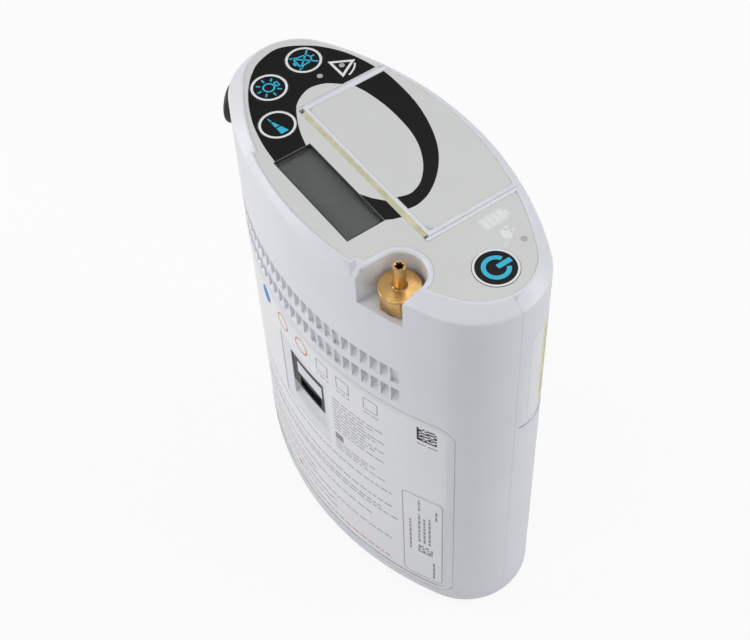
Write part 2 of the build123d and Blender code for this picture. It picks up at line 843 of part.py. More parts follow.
with BuildPart() as battery_case:
    add(outer_form.part)
    block(battery_left, battery_right, battery_front, width, battery_bottom, cap_z0,
          mode=Mode.INTERSECT)
    add(prism(battery_plan(battery_wall, battery_wall), battery_bottom + battery_wall, height),
        mode=Mode.SUBTRACT)
    for x in contact_places:
        block(x - 1.5, x + 1.5, 2, 10, battery_bottom - 1, battery_bottom + 1,
              mode=Mode.SUBTRACT)
    # catch notch for the release hook
    block(battery_left - 1, battery_left + 1, hook_front - 1, hook_back + 3,
          release_height - 6, release_height + 5, mode=Mode.SUBTRACT)
save(battery_case, "battery_case")

with BuildPart() as battery_cap:
    add(outer_form.part)
    block(battery_left, battery_right, battery_front, width, cap_z0, height + 1,
          mode=Mode.INTERSECT)
    add(prism(battery_plan(battery_wall + 2.5, battery_wall), cap_z0 - 1, height - 4),
        mode=Mode.SUBTRACT)
    with BuildSketch(Plane.XY.offset(height - membrane_recess)):
        add(top_plan(membrane_margin))
        with Locations(((battery_left + battery_right) / 2,
                        (battery_front + label_front + width) / 2)):
            Rectangle(battery_right - battery_left - 2 * label_side,
                      width - battery_front - label_front, mode=Mode.INTERSECT)
    extrude(amount=2, mode=Mode.SUBTRACT)
save(battery_cap, "battery_cap")

with BuildPart() as battery_label:
    with BuildSketch(Plane.XY.offset(height - membrane_recess)):
        add(top_plan(membrane_margin + panel_fit))
        with Locations(((battery_left + battery_right) / 2,
                        (battery_front + label_front + panel_fit + width) / 2)):
            Rectangle(battery_right - battery_left - 2 * (label_side + panel_fit),
                      width - battery_front - label_front - panel_fit, mode=Mode.INTERSECT)
    extrude(amount=membrane_thickness)
    fillet(battery_label.edges().filter_by(Axis.Z).sort_by(Axis.Y)[:2], 3)
save(battery_label, "battery_label")

with BuildPart() as battery_seal:
    block(battery_left + 1.8, battery_right - 1.8, battery_front - seal_thickness, battery_front,
          height - 5, height - 1.1)
save(battery_seal, "battery_seal")

cells_centre = ((battery_left + battery_right) / 2, 16.5)
with BuildPart() as battery_cells:
    with Locations((*cells_centre, battery_bottom + battery_wall + 2 + cell_length / 2)):
        with GridLocations(cell_pitch, cell_pitch, cell_columns, cell_rows):
            Cylinder(cell_radius, cell_length)
save(battery_cells, "battery_cells")

with BuildPart() as battery_contacts:
    for x in contact_places:
        block(x - 1.5, x + 1.5, 2, 10, battery_bottom + 0.3, battery_bottom + 1)
save(battery_contacts, "battery_contacts")

# ---- Battery bay: three walls and a floor inside the housing ----
bay_top = deck_under - 0.2
with BuildPart() as battery_bay:
    block(bay_left - bay_wall, bay_right + bay_wall, bay_front - bay_wall, half_width,
          bay_bottom - bay_floor, bay_top)
    block(bay_left, bay_right, bay_front, width, bay_bottom, height, mode=Mode.SUBTRACT)
    add(housing_space(0.4), mode=Mode.INTERSECT)
    # window for the release hook
    block(bay_left - 3, bay_left + 1, hook_front - 1, hook_back + 3, release_height - 7,
          release_height + 7, mode=Mode.SUBTRACT)
    for x in contact_places:
        rod(x, 6, 0, height, 1.15, mode=Mode.SUBTRACT)
save(battery_bay, "battery_bay")

with BuildPart() as bay_terminals:
    for x in contact_places:
        rod(x, 6, bay_bottom - bay_floor - 2, battery_bottom + 0.2, 1.1)
save(bay_terminals, "bay_terminals")

# ---- Battery release: button with its stem, and the hook on the stem ----
with BuildPart() as release_button:
    with Locations(release_plane.offset((release_dome - 5) / 2)):
        Cylinder(release_radius, release_dome + 5)
    rim = release_button.faces().sort_by(Axis(release_plane.origin, release_plane.z_dir))[-1]
    fillet(rim.edges(), 2.2)
    with Locations(release_plane.offset((stem_end - 5) / 2)):
        Cylinder(stem_width, abs(stem_end + 5))
save(release_button, "release_button")

hook_tip = bay_left - 2.3
with BuildPart() as release_hook:
    block(hook_start.X - 3.5, hook_tip, hook_front, hook_back,
          release_height - 4, release_height + 3)
    with Locations(release_plane.offset(stem_end + 5)):
        Box(30, 30, 10, mode=Mode.SUBTRACT)
save(release_hook, "release_hook")

# ---- Printed labels on the housing ----
label_fit = 0.25


with BuildPart() as front_label:
    add(wall_sheet(label_recess - label_sheet, label_recess, -label_half + label_fit,
                   label_half - label_fit, label_bottom + label_fit, label_top - label_fit,
                   label_corner - label_fit))
    block(wall_x(window_left), wall_x(window_right), -width, 0, window_bottom, window_top,
          mode=Mode.SUBTRACT)
save(front_label, "front_label")

with BuildPart() as rating_label:
    add(wall_sheet(label_recess - label_sheet - rating_sheet, label_recess - label_sheet,
                   rating_left, rating_right, rating_bottom, rating_top, label_corner - 1))
save(rating_label, "rating_label")

with BuildPart() as side_label:
    add(tip_sheet(side_seat_depth - side_sheet, side_seat_depth, side_label_s0, side_label_s1,
                  side_label_bottom, side_label_top, side_label_corner))
save(side_label, "side_label")

# ---- Power inlet ----
inlet_plate_depth = 1.5
socket_left = -8.0
socket_right = 9.5
socket_bottom = 109.5
socket_top = 116.5
socket_depth = 12.0
plate_left = -10.0
plate_right = 10.5
plate_bottom = 118.0
plate_top = 127.3
pin_places = [-4.5, 0.75, 6.0]
pin_radius = 0.9
with BuildPart() as power_inlet:
    block(inlet_left + inlet_gap, inlet_right - inlet_gap, -width, -half_width + inlet_depth,
          inlet_bottom + inlet_gap, inlet_top - inlet_gap)
    add(prism(lens(inlet_set), 0, height), mode=Mode.INTERSECT)
    block(plate_left - 0.1, plate_right + 0.1, -width, -half_width + inlet_set + inlet_plate_depth,
          plate_bottom - 0.1, plate_top + 0.1, mode=Mode.SUBTRACT)
    block(socket_left, socket_right, -width, -half_width + socket_depth,
          socket_bottom, socket_top, mode=Mode.SUBTRACT)
    for x in pin_places:
        rod_y(x, (socket_bottom + socket_top) / 2, -half_width + socket_depth - 1,
              -half_width + inlet_depth + 1, pin_radius + 0.02, mode=Mode.SUBTRACT)
save(power_inlet, "power_inlet")

with BuildPart() as inlet_plate:
    block(plate_left, plate_right, -half_width + inlet_set + 0.4,
          -half_width + inlet_set + inlet_plate_depth, plate_bottom, plate_top)
save(inlet_plate, "inlet_plate")

with BuildPart() as inlet_pins:
    for x in pin_places:
        rod_y(x, (socket_bottom + socket_top) / 2, -half_width + inlet_set + 3,
              -half_width + inlet_depth + 3, pin_radius)
save(inlet_pins, "inlet_pins")

# ---- Compressor ----
cavity_half = case_half - case_wall
case_bottom = crank_height - case_half
case_top = crank_height + case_half
rod_left_y = -18.5
rod_right_y = rod_left_y + rod_thickness + 0.4
sides = [("left", -1, rod_left_y), ("right", 1, rod_right_y)]
cover_thickness = 2.0

with BuildPart() as crankcase:
    block(-case_half, case_half, case_front, case_back, case_bottom, case_top)
    block(-cavity_half, cavity_half, case_front - 1, case_back - case_wall,
          case_bottom + case_wall, case_top - case_wall, mode=Mode.SUBTRACT)
    for _, side, y in sides:
        rod_x(y, crank_height, *sorted((side * cavity_half - side, side * (case_half + 1))),
              piston_radius + 0.5, mode=Mode.SUBTRACT)
    rod_y(0, crank_height, case_front - 1, case_back + 1, shaft_radius + bearing_gap,
          mode=Mode.SUBTRACT)
save(crankcase, "crankcase")

with BuildPart() as crankcase_cover:
    block(-case_half, case_half, case_front - cover_thickness, case_front,
          case_bottom, case_top)
    rod_y(0, crank_height, case_front - 2 * cover_thickness, case_front + 1,
          shaft_radius + bearing_gap, mode=Mode.SUBTRACT)
save(crankcase_cover, "crankcase_cover")

shaft_front = case_front - cover_thickness + 0.4
motor_end = case_back + motor_length
with BuildPart() as crankshaft:
    rod_y(0, crank_height, shaft_front, motor_end - 0.5, shaft_radius)
    rod_y(0, crank_height + throw, rod_left_y - rod_thickness / 2 - 0.6,
          rod_right_y + rod_thickness / 2 + 0.6, eccentric_radius)
    rod_y(0, crank_height, -27.5, -22.5, 13.5)
    block(-15, 15, -28, -22.4, crank_height + 3, crank_height + 16, mode=Mode.SUBTRACT)
    rod_y(0, crank_height, -28, -22, shaft_radius)
save(crankshaft, "crankshaft")

with BuildPart() as motor_rotor:
    rod_y(0, crank_height, case_back + 7, case_back + 27, rotor_radius)
    rod_y(0, crank_height, case_back, motor_end, shaft_radius + 0.02, mode=Mode.SUBTRACT)
save(motor_rotor, "motor_rotor")

with BuildPart() as motor_can:
    rod_y(0, crank_height, case_back, motor_end, motor_radius)
    rod_y(0, crank_height, case_back - 1, motor_end - 2, motor_radius - 2, mode=Mode.SUBTRACT)
    rod_y(0, crank_height, case_back, motor_end + 1, shaft_radius + bearing_gap,
          mode=Mode.SUBTRACT)
save(motor_can, "motor_can")

with BuildPart() as motor_stator:
    rod_y(0, crank_height, case_back + 5, case_back + 29, motor_radius - 2)
    rod_y(0, crank_height, case_back, motor_end, stator_bore, mode=Mode.SUBTRACT)
save(motor_stator, "motor_stator")

piston_near = case_half + 6
piston_far = piston_near + 5
for side_name, side, y in sides:
    with BuildPart() as piston:
        rod_y(0, crank_height, y - rod_thickness / 2, y + rod_thickness / 2,
              rod_bore + rod_ring)
        block(*sorted((side * (rod_bore + 1), side * piston_near)), y - rod_thickness / 2,
              y + rod_thickness / 2, crank_height - 3, crank_height + 3)
        rod_y(0, crank_height, y - rod_thickness, y + rod_thickness, rod_bore,
              mode=Mode.SUBTRACT)
        rod_x(y, crank_height, *sorted((side * piston_near, side * piston_far)),
              piston_radius)
    save(piston, f"piston_{side_name}")

sleeve_end = case_half + sleeve_length
with BuildPart() as cylinder_sleeves:
    for _, side, y in sides:
        ends = sorted((side * case_half, side * sleeve_end))
        rod_x(y, crank_height, *ends, piston_radius + sleeve_wall)
    for _, side, y in sides:
        ends = sorted((side * case_half, side * sleeve_end))
        rod_x(y, crank_height, *ends, piston_radius + piston_gap, mode=Mode.SUBTRACT)
save(cylinder_sleeves, "cylinder_sleeves")

port_radius = 1.8
with BuildPart() as cylinder_heads:
    for _, side, y in sides:
        ends = sorted((side * sleeve_end, side * (sleeve_end + head_thickness)))
        block(*ends, y - head_side / 2, y + head_side / 2,
              crank_height - head_side / 2, crank_height + head_side / 2)
    for _, side, y in sides:
        x = side * (sleeve_end + head_thickness / 2)
        rod(x, y, crank_height, crank_height + head_side, port_radius, mode=Mode.SUBTRACT)
save(cylinder_heads, "cylinder_heads")

with BuildPart() as compressor_isolators:
    for x in (-14.0, 14.0):
        for y in (case_front + 6, case_back - 6):
            rod(x, y, base_top, case_bottom, 5)
save(compressor_isolators, "compressor_isolators")

# ---- Sieve beds ----
with BuildPart() as sieve_beds:
    for side in (-1, 1):
        rod(side * bed_x, 0, bed_bottom, bed_top, bed_radius)
        rod(side * bed_x, 0, bed_bottom - 1, bed_top + 1, bed_radius - bed_wall,
            mode=Mode.SUBTRACT)
save(sieve_beds, "sieve_beds")

with BuildPart() as sieve_media:
    for side in (-1, 1):
        rod(side * bed_x, 0, bed_bottom + 0.2, bed_top - 0.2, bed_radius - bed_wall - 0.2)
save(sieve_media, "sieve_media")

bed_port = 2.5
with BuildPart() as sieve_caps:
    for side in (-1, 1):
        rod(side * bed_x, 0, bed_bottom - bed_cap, bed_bottom, bed_radius)
        rod(side * bed_x, 0, bed_top, bed_top + bed_cap, bed_radius)
        rod_x(0, bed_top + bed_cap / 2, *sorted((side * bed_x, side * (bed_x - bed_radius - 3))),
              bed_port)
save(sieve_caps, "sieve_caps")

# ---- Product tank ----
tank_wall = 1.5
tank_port = 1.5
with BuildPart() as product_tank:
    rod_x(tank_y, tank_z, -tank_half, tank_half, tank_radius)
    fillet(product_tank.edges().filter_by(GeomType.CIRCLE), 3)
    rod_x(tank_y, tank_z, -tank_half + 3, tank_half - 3, tank_radius - tank_wall,
          mode=Mode.SUBTRACT)
    rod_x(tank_y, tank_z, -tank_half - 1, tank_half + 1, tank_port, mode=Mode.SUBTRACT)
save(product_tank, "product_tank")

# ---- Valve manifold ----
manifold_z0 = case_top + 3
manifold_z1 = manifold_z0 + 14
with BuildPart() as valve_manifold:
    block(-manifold_half, manifold_half, valve_y - 9, valve_y + 9, manifold_z0, manifold_z1)
    rod_x(valve_y, manifold_z0 + 7, -manifold_half - 1, manifold_half + 1, 2.2,
          mode=Mode.SUBTRACT)
save(valve_manifold, "valve_manifold")

plunger_z0 = manifold_z1 + 3
plunger_z1 = plunger_z0 + 12
with BuildPart() as valve_coils:
    for side in (-1, 1):
        rod(side * valve_x, valve_y, manifold_z1, manifold_z1 + coil_height, valve_radius)
    for side in (-1, 1):
        rod(side * valve_x, valve_y, plunger_z0 - 0.5, plunger_z1 + plunger_travel + 0.5,
            plunger_radius + plunger_gap, mode=Mode.SUBTRACT)
        rod(side * valve_x, valve_y, manifold_z1 - 1, plunger_z0, plunger_radius - 1,
            mode=Mode.SUBTRACT)
save(valve_coils, "valve_coils")

for side_name, side in (("left", -1), ("right", 1)):
    with BuildPart() as plunger:
        rod(side * valve_x, valve_y, plunger_z0, plunger_z1, plunger_radius)
    save(plunger, f"valve_plunger_{side_name}")

# ---- Main board ----
main_board_y = 1.0
main_board_z0 = 107.5
main_board_z1 = bay_bottom - bay_floor - 2.5
with BuildPart() as main_board:
    block(-38, 38, main_board_y, main_board_y + board_thickness, main_board_z0, main_board_z1)
save(main_board, "main_board")

with BuildPart() as board_components:
    for _, place, _ in key_places:
        block(place[0] - 3, place[0] + 3, place[1] - 3, place[1] + 3,
              board_top, board_top + switch_height)
    rod(*buzzer_place, board_top - board_thickness - 6, board_top - board_thickness, 6)
    block(-36, -16, main_board_y - 9, main_board_y, main_board_z0 + 6, main_board_z0 + 24)
    block(20, 34, main_board_y - 6, main_board_y, main_board_z0 + 4, main_board_z0 + 18)
    for x in (15.0, 24.0, 33.0):
        rod_y(x, main_board_z1 - 8, main_board_y - 11, main_board_y, 3.8)
    for x in (-30.0, -10.0, 10.0, 30.0):
        block(x - 5, x + 5, main_board_y + board_thickness, main_board_y + board_thickness + 3,
              main_board_z1 - 16, main_board_z1 - 8)
save(board_components, "board_components")

# ---- Intake filter, exhaust muffler, product filter ----
with BuildPart() as intake_filter:
    rod(66, 8, bed_top + bed_cap + 8, 196, 13)
    chamfer(intake_filter.edges().group_by(Axis.Z)[-1], 2)
    rod(66, 8, bed_top + bed_cap + 4, bed_top + bed_cap + 9, 3)
save(intake_filter, "intake_filter")

with BuildPart() as exhaust_muffler:
    rod(-66, 8, bed_top + bed_cap + 8, 200, 12)
    fillet(exhaust_muffler.edges().group_by(Axis.Z)[-1], 4)
    rod(-66, 8, bed_top + bed_cap + 4, bed_top + bed_cap + 9, 3)
save(exhaust_muffler, "exhaust_muffler")

filter_top = 148.0
filter_bottom = 112.0
filter_radius = 6.5
filter_x = outlet_x - 6
filter_y = outlet_y + 2
with BuildPart() as product_filter:
    rod(filter_x, filter_y, filter_bottom, filter_top, filter_radius)
    rod(filter_x, filter_y, filter_bottom - 6, filter_top + 6, 2.0)
save(product_filter, "product_filter")

# ---- Flexible hoses: outlet to filter, heads to manifold, manifold to beds ----
hose_outer = 3.6
hose_inner = hose_barb_radius
thin_outer = 2.4
thin_inner = 1.4
bed_port_z = bed_top + bed_cap / 2
bed_port_x = bed_x - bed_radius - 3


def hose(points, radii, outer, inner):
    """A bent tube along straight runs joined by arcs."""
    with BuildLine() as path:
        FilletPolyline(*points, radius=radii)
    route = path.wires()[0]
    with BuildPart() as tube:
        with BuildSketch(Plane(origin=route @ 0, z_dir=route % 0)):
            Circle(outer)
            Circle(inner, mode=Mode.SUBTRACT)
        sweep(path=route)
    return tube.part


with BuildPart() as hoses:
    add(hose(
        [
            (outlet_x, outlet_y, hose_barb_end + 6),
            (outlet_x, outlet_y, hose_barb_end - 14),
            (filter_x, filter_y, filter_top + 22),
            (filter_x, filter_y, filter_top + 1),
        ],
        10, hose_outer, hose_inner,
    ))
    for _, side, y in sides:
        head_x = side * (sleeve_end + head_thickness / 2)
        add(hose(
            [
                (head_x, y, crank_height + head_side / 2 + 0.1),
                (head_x, y, manifold_z0 - 1),
                (head_x, valve_y, manifold_z0 + 7),
                (side * (manifold_half + 0.1), valve_y, manifold_z0 + 7),
            ],
            2.5, thin_outer, thin_inner,
        ))
        add(hose(
            [
                (side * (bed_port_x - 0.1), 0, bed_port_z),
                (side * (bed_port_x - 3.6), 0, bed_port_z),
                (side * (bed_port_x - 3.6), -4, manifold_z1 + 16),
                (side * (manifold_half - 1), valve_y, manifold_z1 + 6),
                (side * (manifold_half - 1), valve_y, manifold_z1 + 0.1),
            ],
            3, thin_outer, thin_inner,
        ))
save(hoses, "hoses")

# ---- Cooling fan behind the vents ----
fan_back = fan_front + fan_depth
hub_back = fan_back - 3.2
with BuildPart() as fan_frame:
    block(-fan_side / 2, fan_side / 2, fan_front, fan_back, fan_z - fan_side / 2,
          fan_z + fan_side / 2)
    rod_y(0, fan_z, fan_front - 1, fan_back - 2, fan_bore, mode=Mode.SUBTRACT)
    rod_y(0, fan_z, fan_back - 3, fan_back + 1, fan_bore, mode=Mode.SUBTRACT)
    for turn in range(4):
        with Locations(Location((0, fan_back - 1, fan_z), (0, 45 + 90 * turn, 0))):
            with Locations((fan_bore / 2 + 1, 0, 0)):
                Box(fan_bore + 2, 2, 4)
    rod_y(0, fan_z, fan_back - 2, fan_back, fan_hub)
    rod_y(0, fan_z, hub_back - 7, fan_back - 2, 1.5)
save(fan_frame, "fan_frame")

with BuildPart() as fan_rotor:
    rod_y(0, fan_z, fan_front + 1.5, hub_back, fan_hub)
    for blade in range(fan_blades):
        with Locations(Location((0, (fan_front + 1.5 + hub_back) / 2, fan_z),
                                (0, 360 / fan_blades * blade, 0))):
            with Locations(Location((fan_hub + 7, 0, 0), (38, 0, 0))):
                Box(16, 9.5, 1.3)
    rod_y(0, fan_z, fan_front, fan_back, fan_tip, mode=Mode.INTERSECT)
    rod_y(0, fan_z, hub_back - 8, fan_back, 1.5 + bearing_gap, mode=Mode.SUBTRACT)
save(fan_rotor, "fan_rotor")
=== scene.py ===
import json
from math import atan2, cos, pi, radians, sin

import bmesh
import bpy
from mathutils import Matrix, Vector


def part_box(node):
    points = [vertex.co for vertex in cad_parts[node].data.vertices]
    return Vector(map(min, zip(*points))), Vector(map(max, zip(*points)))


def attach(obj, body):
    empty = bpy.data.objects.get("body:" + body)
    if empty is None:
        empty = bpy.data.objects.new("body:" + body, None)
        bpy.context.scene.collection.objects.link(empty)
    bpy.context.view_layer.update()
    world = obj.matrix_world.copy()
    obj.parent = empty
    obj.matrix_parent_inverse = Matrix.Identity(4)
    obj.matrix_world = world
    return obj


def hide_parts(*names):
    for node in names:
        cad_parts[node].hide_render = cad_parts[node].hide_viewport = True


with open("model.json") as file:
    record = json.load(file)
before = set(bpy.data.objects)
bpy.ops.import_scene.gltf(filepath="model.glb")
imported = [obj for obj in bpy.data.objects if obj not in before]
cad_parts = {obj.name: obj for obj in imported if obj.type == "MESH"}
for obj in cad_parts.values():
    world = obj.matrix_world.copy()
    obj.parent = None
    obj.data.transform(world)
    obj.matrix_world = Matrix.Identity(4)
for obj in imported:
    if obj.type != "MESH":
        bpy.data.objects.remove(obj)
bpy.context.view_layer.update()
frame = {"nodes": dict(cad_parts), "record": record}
scene = bpy.context.scene
mm = 0.001
slotOf = {row["node"]: row["material_slot"] for row in frame["record"]["subparts"]}
bodies = frame["record"]["behaviour"]["bodies"]
bodyOf = {node: body for body, nodes in bodies.items() for node in nodes}
print("frame loaded:", len(frame["nodes"]), "nodes")


class Value:
    # shader maths: one output socket, whose operators add Math nodes
    def __init__(self, finish, socket):
        self.finish = finish
        self.socket = socket

    def math(self, operation, *others):
        return self.finish.add("ShaderNodeMath", {"operation": operation}, [self, *others])

    def __add__(self, other):
        return self.math("ADD", other)

    def __radd__(self, other):
        return self.math("ADD", other)

    def __sub__(self, other):
        return self.math("SUBTRACT", other)

    def __rsub__(self, other):
        return self.finish.add("ShaderNodeMath", {"operation": "SUBTRACT"}, [other, self])

    def __mul__(self, other):
        return self.math("MULTIPLY", other)

    def __rmul__(self, other):
        return self.math("MULTIPLY", other)

    def __truediv__(self, other):
        return self.math("DIVIDE", other)

    def __pow__(self, other):
        return self.math("POWER", other)

    def ramp(self, low, high):
        # 0 up to low, 1 from high on
        return ((self - low) / (high - low)).math("MAXIMUM", 0.0).math("MINIMUM", 1.0)


class Finish:
    # a material with one Principled shader
    def __init__(self, name, **fixed):
        self.material = bpy.data.materials.new(name)
        self.material.use_nodes = True
        self.tree = self.material.node_tree
        self.tree.nodes.clear()
        self.shader = self.tree.nodes.new("ShaderNodeBsdfPrincipled")
        output = self.tree.nodes.new("ShaderNodeOutputMaterial")
        self.tree.links.new(self.shader.outputs[0], output.inputs[0])
        self.place = self.add("ShaderNodeTexCoord", {}, [], out="Object")
        for socket, value in fixed.items():
            self.put(socket, value)

    def add(self, kind, settings, values, out=0):
        # values is a list in socket order, or a dictionary by socket name
        node = self.tree.nodes.new(kind)
        for key, value in settings.items():
            setattr(node, key, value)
        pairs = enumerate(values) if isinstance(values, list) else values.items()
        for key, value in pairs:
            self.feed(node.inputs[key], value)
        return Value(self, node.outputs[out])

    def feed(self, socket, value):
        if isinstance(value, Value):
            self.tree.links.new(value.socket, socket)
        else:
            socket.default_value = value

    def put(self, socket, value):
        # BaseColor stands for the socket Base Color
        name = "".join(" " + c if c.isupper() and i else c for i, c in enumerate(socket))
        self.feed(self.shader.inputs[name.replace("I O R", "IOR")], value)

    def noise(self, size, detail=2.0, rough=0.5, place=None):
        # size is the width of one blotch, in metres
        return self.add("ShaderNodeTexNoise", {}, {"Vector": place or self.place, "Scale": 1 / size,
                                                   "Detail": detail, "Roughness": rough})

    def mix(self, factor, first, second):
        # sockets 6 and 7 are the two colours, and output 2 is the mixed one
        return self.add("ShaderNodeMix", {"data_type": "RGBA"},
                        {0: factor, 6: first, 7: second}, out=2)

    def bump(self, height, depth, strength=1.0):
        self.put("Normal", self.add("ShaderNodeBump", {}, {"Height": height, "Distance": depth,
                                                           "Strength": strength}))

    def axes(self, centre=(0, 0, 0)):
        # the three coordinates, counted from a centre
        moved = self.add("ShaderNodeVectorMath", {"operation": "SUBTRACT"}, [self.place, centre])
        split = self.tree.nodes.new("ShaderNodeSeparateXYZ")
        self.tree.links.new(moved.socket, split.inputs[0])
        return [Value(self, socket) for socket in split.outputs]


def shade(colour, factor):
    return tuple(min(1.0, c * factor) for c in colour[:3]) + (1.0,)


def moulded(name, colour, rough=0.36, grain=0.0004, depth=0.00001, coat=0.0):
    # injection-moulded plastic with a spark-eroded skin
    finish = Finish(name)
    blotch = finish.noise(0.035, 3.0)
    fine = finish.noise(grain, 2.0)
    finish.put("BaseColor", finish.mix(blotch.ramp(0.35, 0.65), shade(colour, 0.975),
                                       shade(colour, 1.01)))
    finish.put("Roughness", fine * 0.08 + blotch * 0.06 + (rough - 0.07))
    finish.put("CoatWeight", coat)
    finish.bump(fine, depth)
    return finish


def film(name, colour, rough=0.42, depth=0.000006, specular=0.5):
    # printed polyester film with a fine stipple
    finish = Finish(name, SpecularIORLevel=specular)
    stipple = finish.noise(0.00025, 1.0)
    cloud = finish.noise(0.02, 2.0)
    finish.put("BaseColor", finish.mix(cloud.ramp(0.3, 0.7), shade(colour, 0.985),
                                       shade(colour, 1.01)))
    finish.put("Roughness", stipple * 0.1 + (rough - 0.05))
    finish.bump(stipple, depth)
    return finish


def turned(name, colour, centre, rough=0.2, pitch=0.00035):
    # metal with fine turning marks round an upright axis, slightly tarnished
    finish = Finish(name, Metallic=1.0)
    x, y, z = finish.axes(centre)
    radius = (x * x + y * y) ** 0.5
    perMetre = 2 * pi / pitch
    marks = (radius * perMetre).math("SINE") + (z * perMetre).math("SINE")
    tarnish = finish.noise(0.004, 4.0, 0.6)
    finish.put("BaseColor", finish.mix(tarnish.ramp(0.35, 0.75), shade(colour, 1.04),
                                       shade(colour, 0.8)))
    finish.put("Roughness", tarnish * 0.16 + (rough - 0.06))
    finish.bump(marks, 0.000002)
    return finish


def brushed(name, colour, rough=0.34, stretch=(1, 1, 30)):
    # rolled or machined metal with directional scratches
    finish = Finish(name, Metallic=1.0)
    long = finish.add("ShaderNodeMapping", {}, {"Vector": finish.place, "Scale": stretch})
    scratch = finish.noise(0.004, 4.0, 0.6, long)
    finish.put("BaseColor", finish.mix(scratch.ramp(0.3, 0.7), shade(colour, 0.92),
                                       shade(colour, 1.04)))
    finish.put("Roughness", scratch * 0.2 + (rough - 0.1))
    finish.bump(scratch, 0.000008)
    return finish


def soft(name, colour, rough=0.7, grain=0.0006):
    # rubber, foam and felt
    finish = Finish(name)
    fine = finish.noise(grain, 3.0)
    dust = finish.noise(0.009, 3.0)
    finish.put("BaseColor", finish.mix(dust.ramp(0.45, 0.8), shade(colour, 0.95),
                                       shade(colour, 1.25)))
    finish.put("Roughness", fine * 0.15 + (rough - 0.08))
    finish.bump(fine, 0.00003)
    return finish


def solderMask(name, colour, perMetre=1900):
    # circuit board with faint tracks under the mask, which run one way or the other
    finish = Finish(name)
    x, y, z = finish.axes()
    area = finish.noise(0.012, 1.0).ramp(0.48, 0.52)
    tracks = ((x * perMetre).math("SINE") * area
              + ((z + y) * perMetre).math("SINE") * (1 - area))
    finish.put("BaseColor", finish.mix(tracks.ramp(0.2, 0.5), colour + (1.0,), shade(colour, 1.7)))
    finish.put("Roughness", finish.noise(0.001) * 0.1 + 0.28)
    finish.bump(tracks.ramp(0.2, 0.5), 0.00002)
    return finish


def windings(name, colour, centre):
    # enamelled wire wound round the motor's teeth
    finish = Finish(name, Metallic=1.0)
    x, y, z = finish.axes(centre)
    turns = (y * (2 * pi / 0.0009)).math("SINE")
    # the colour is darker in the grooves between turns and lighter on their crowns: painted shade
    # and painted highlight
    finish.put("BaseColor", finish.mix(turns.ramp(-0.6, 0.8), shade(colour, 0.4),
                                       shade(colour, 1.1)))
    finish.put("Roughness", turns * 0.06 + 0.3)
    finish.bump(turns, 0.0001)
    return finish


def granules(name, colour):
    # packed beads of sieve material
    finish = Finish(name)
    cells = finish.add("ShaderNodeTexVoronoi", {}, {"Vector": finish.place, "Scale": 550.0})
    # the colour is lighter at the middle of each bead and darker in the gaps between beads: painted
    # shade between the beads
    finish.put("BaseColor", finish.mix(cells.ramp(0.1, 0.6), shade(colour, 1.1),
                                       shade(colour, 0.55)))
    finish.put("Roughness", cells * 0.2 + 0.6)
    finish.bump(1 - cells, 0.0006)
    return finish


def clear(name, colour, rough, weight=1.0):
    finish = Finish(name, TransmissionWeight=weight, IOR=1.49)
    haze = finish.noise(0.006, 2.0)
    finish.put("BaseColor", finish.mix(haze, shade(colour, 0.98), shade(colour, 1.0)))
    finish.put("Roughness", haze * 0.03 + rough)
    return finish


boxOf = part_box
fittingBox = boxOf("outlet_fitting")
fittingAxis = ((fittingBox[0].x + fittingBox[1].x) / 2, (fittingBox[0].y + fittingBox[1].y) / 2, 0)
motorAxis = (0, 0, (boxOf("motor_can")[0].z + boxOf("motor_can")[1].z) / 2)

finishes = {
    "housing": moulded("housingPlastic", (0.79, 0.80, 0.84), coat=0.1),
    "base_plastic": moulded("basePlastic", (0.36, 0.37, 0.39), 0.5),
    "panel_film": film("panelFilm", (0.70, 0.705, 0.685)),
    "key_film": film("keyFilm", (0.007, 0.0065, 0.007), 0.36, specular=0.2),
    "display_glass": clear("displayWindow", (0.80, 0.84, 0.82), 0.06),
    "display": film("displayFace", (0.30, 0.305, 0.30), 0.5),
    "board": solderMask("boardMask", (0.01, 0.09, 0.035)),
    "component": moulded("componentBlack", (0.018, 0.018, 0.02), 0.45),
    "brass": turned("turnedBrass", (0.78, 0.48, 0.18), fittingAxis, 0.27),
    "steel": brushed("plainSteel", (0.62, 0.62, 0.63)),
    "aluminium": brushed("castAluminium", (0.74, 0.75, 0.77), 0.4, (1, 1, 1)),
    "rubber": soft("blackRubber", (0.02, 0.02, 0.021)),
    "release_rubber": soft("buttonRubber", (0.022, 0.018, 0.018), 0.55),
    "seal": soft("sealFoam", (0.78, 0.73, 0.47), 0.8, 0.0009),
    "label": film("labelFilm", (0.86, 0.86, 0.875), 0.4),
    "inlet_plastic": moulded("inletPlastic", (0.008, 0.008, 0.009), 0.38, 0.0008, 0.000003),
    "light_pipe": clear("lightPipe", (0.75, 0.73, 0.68), 0.35, 0.35),
    "dark_plastic": moulded("darkPlastic", (0.028, 0.028, 0.032), 0.5),
    "white_plastic": moulded("whitePlastic", (0.76, 0.77, 0.785), 0.45),
    "cell_wrap": film("cellWrap", (0.02, 0.09, 0.32), 0.3),
    "gold": turned("platedContact", (0.9, 0.62, 0.26), (0, 0, 0), 0.25, 0.0006),
    "media": granules("sieveMedia", (0.62, 0.54, 0.40)),
    "copper": windings("copperWire", (0.75, 0.32, 0.14), motorAxis),
    "silicone": clear("siliconeTube", (0.82, 0.84, 0.86), 0.4, 0.3),
    "filter_media": soft("filterFelt", (0.52, 0.56, 0.62), 0.9, 0.0012),
}
print("finishes made:", len(finishes))


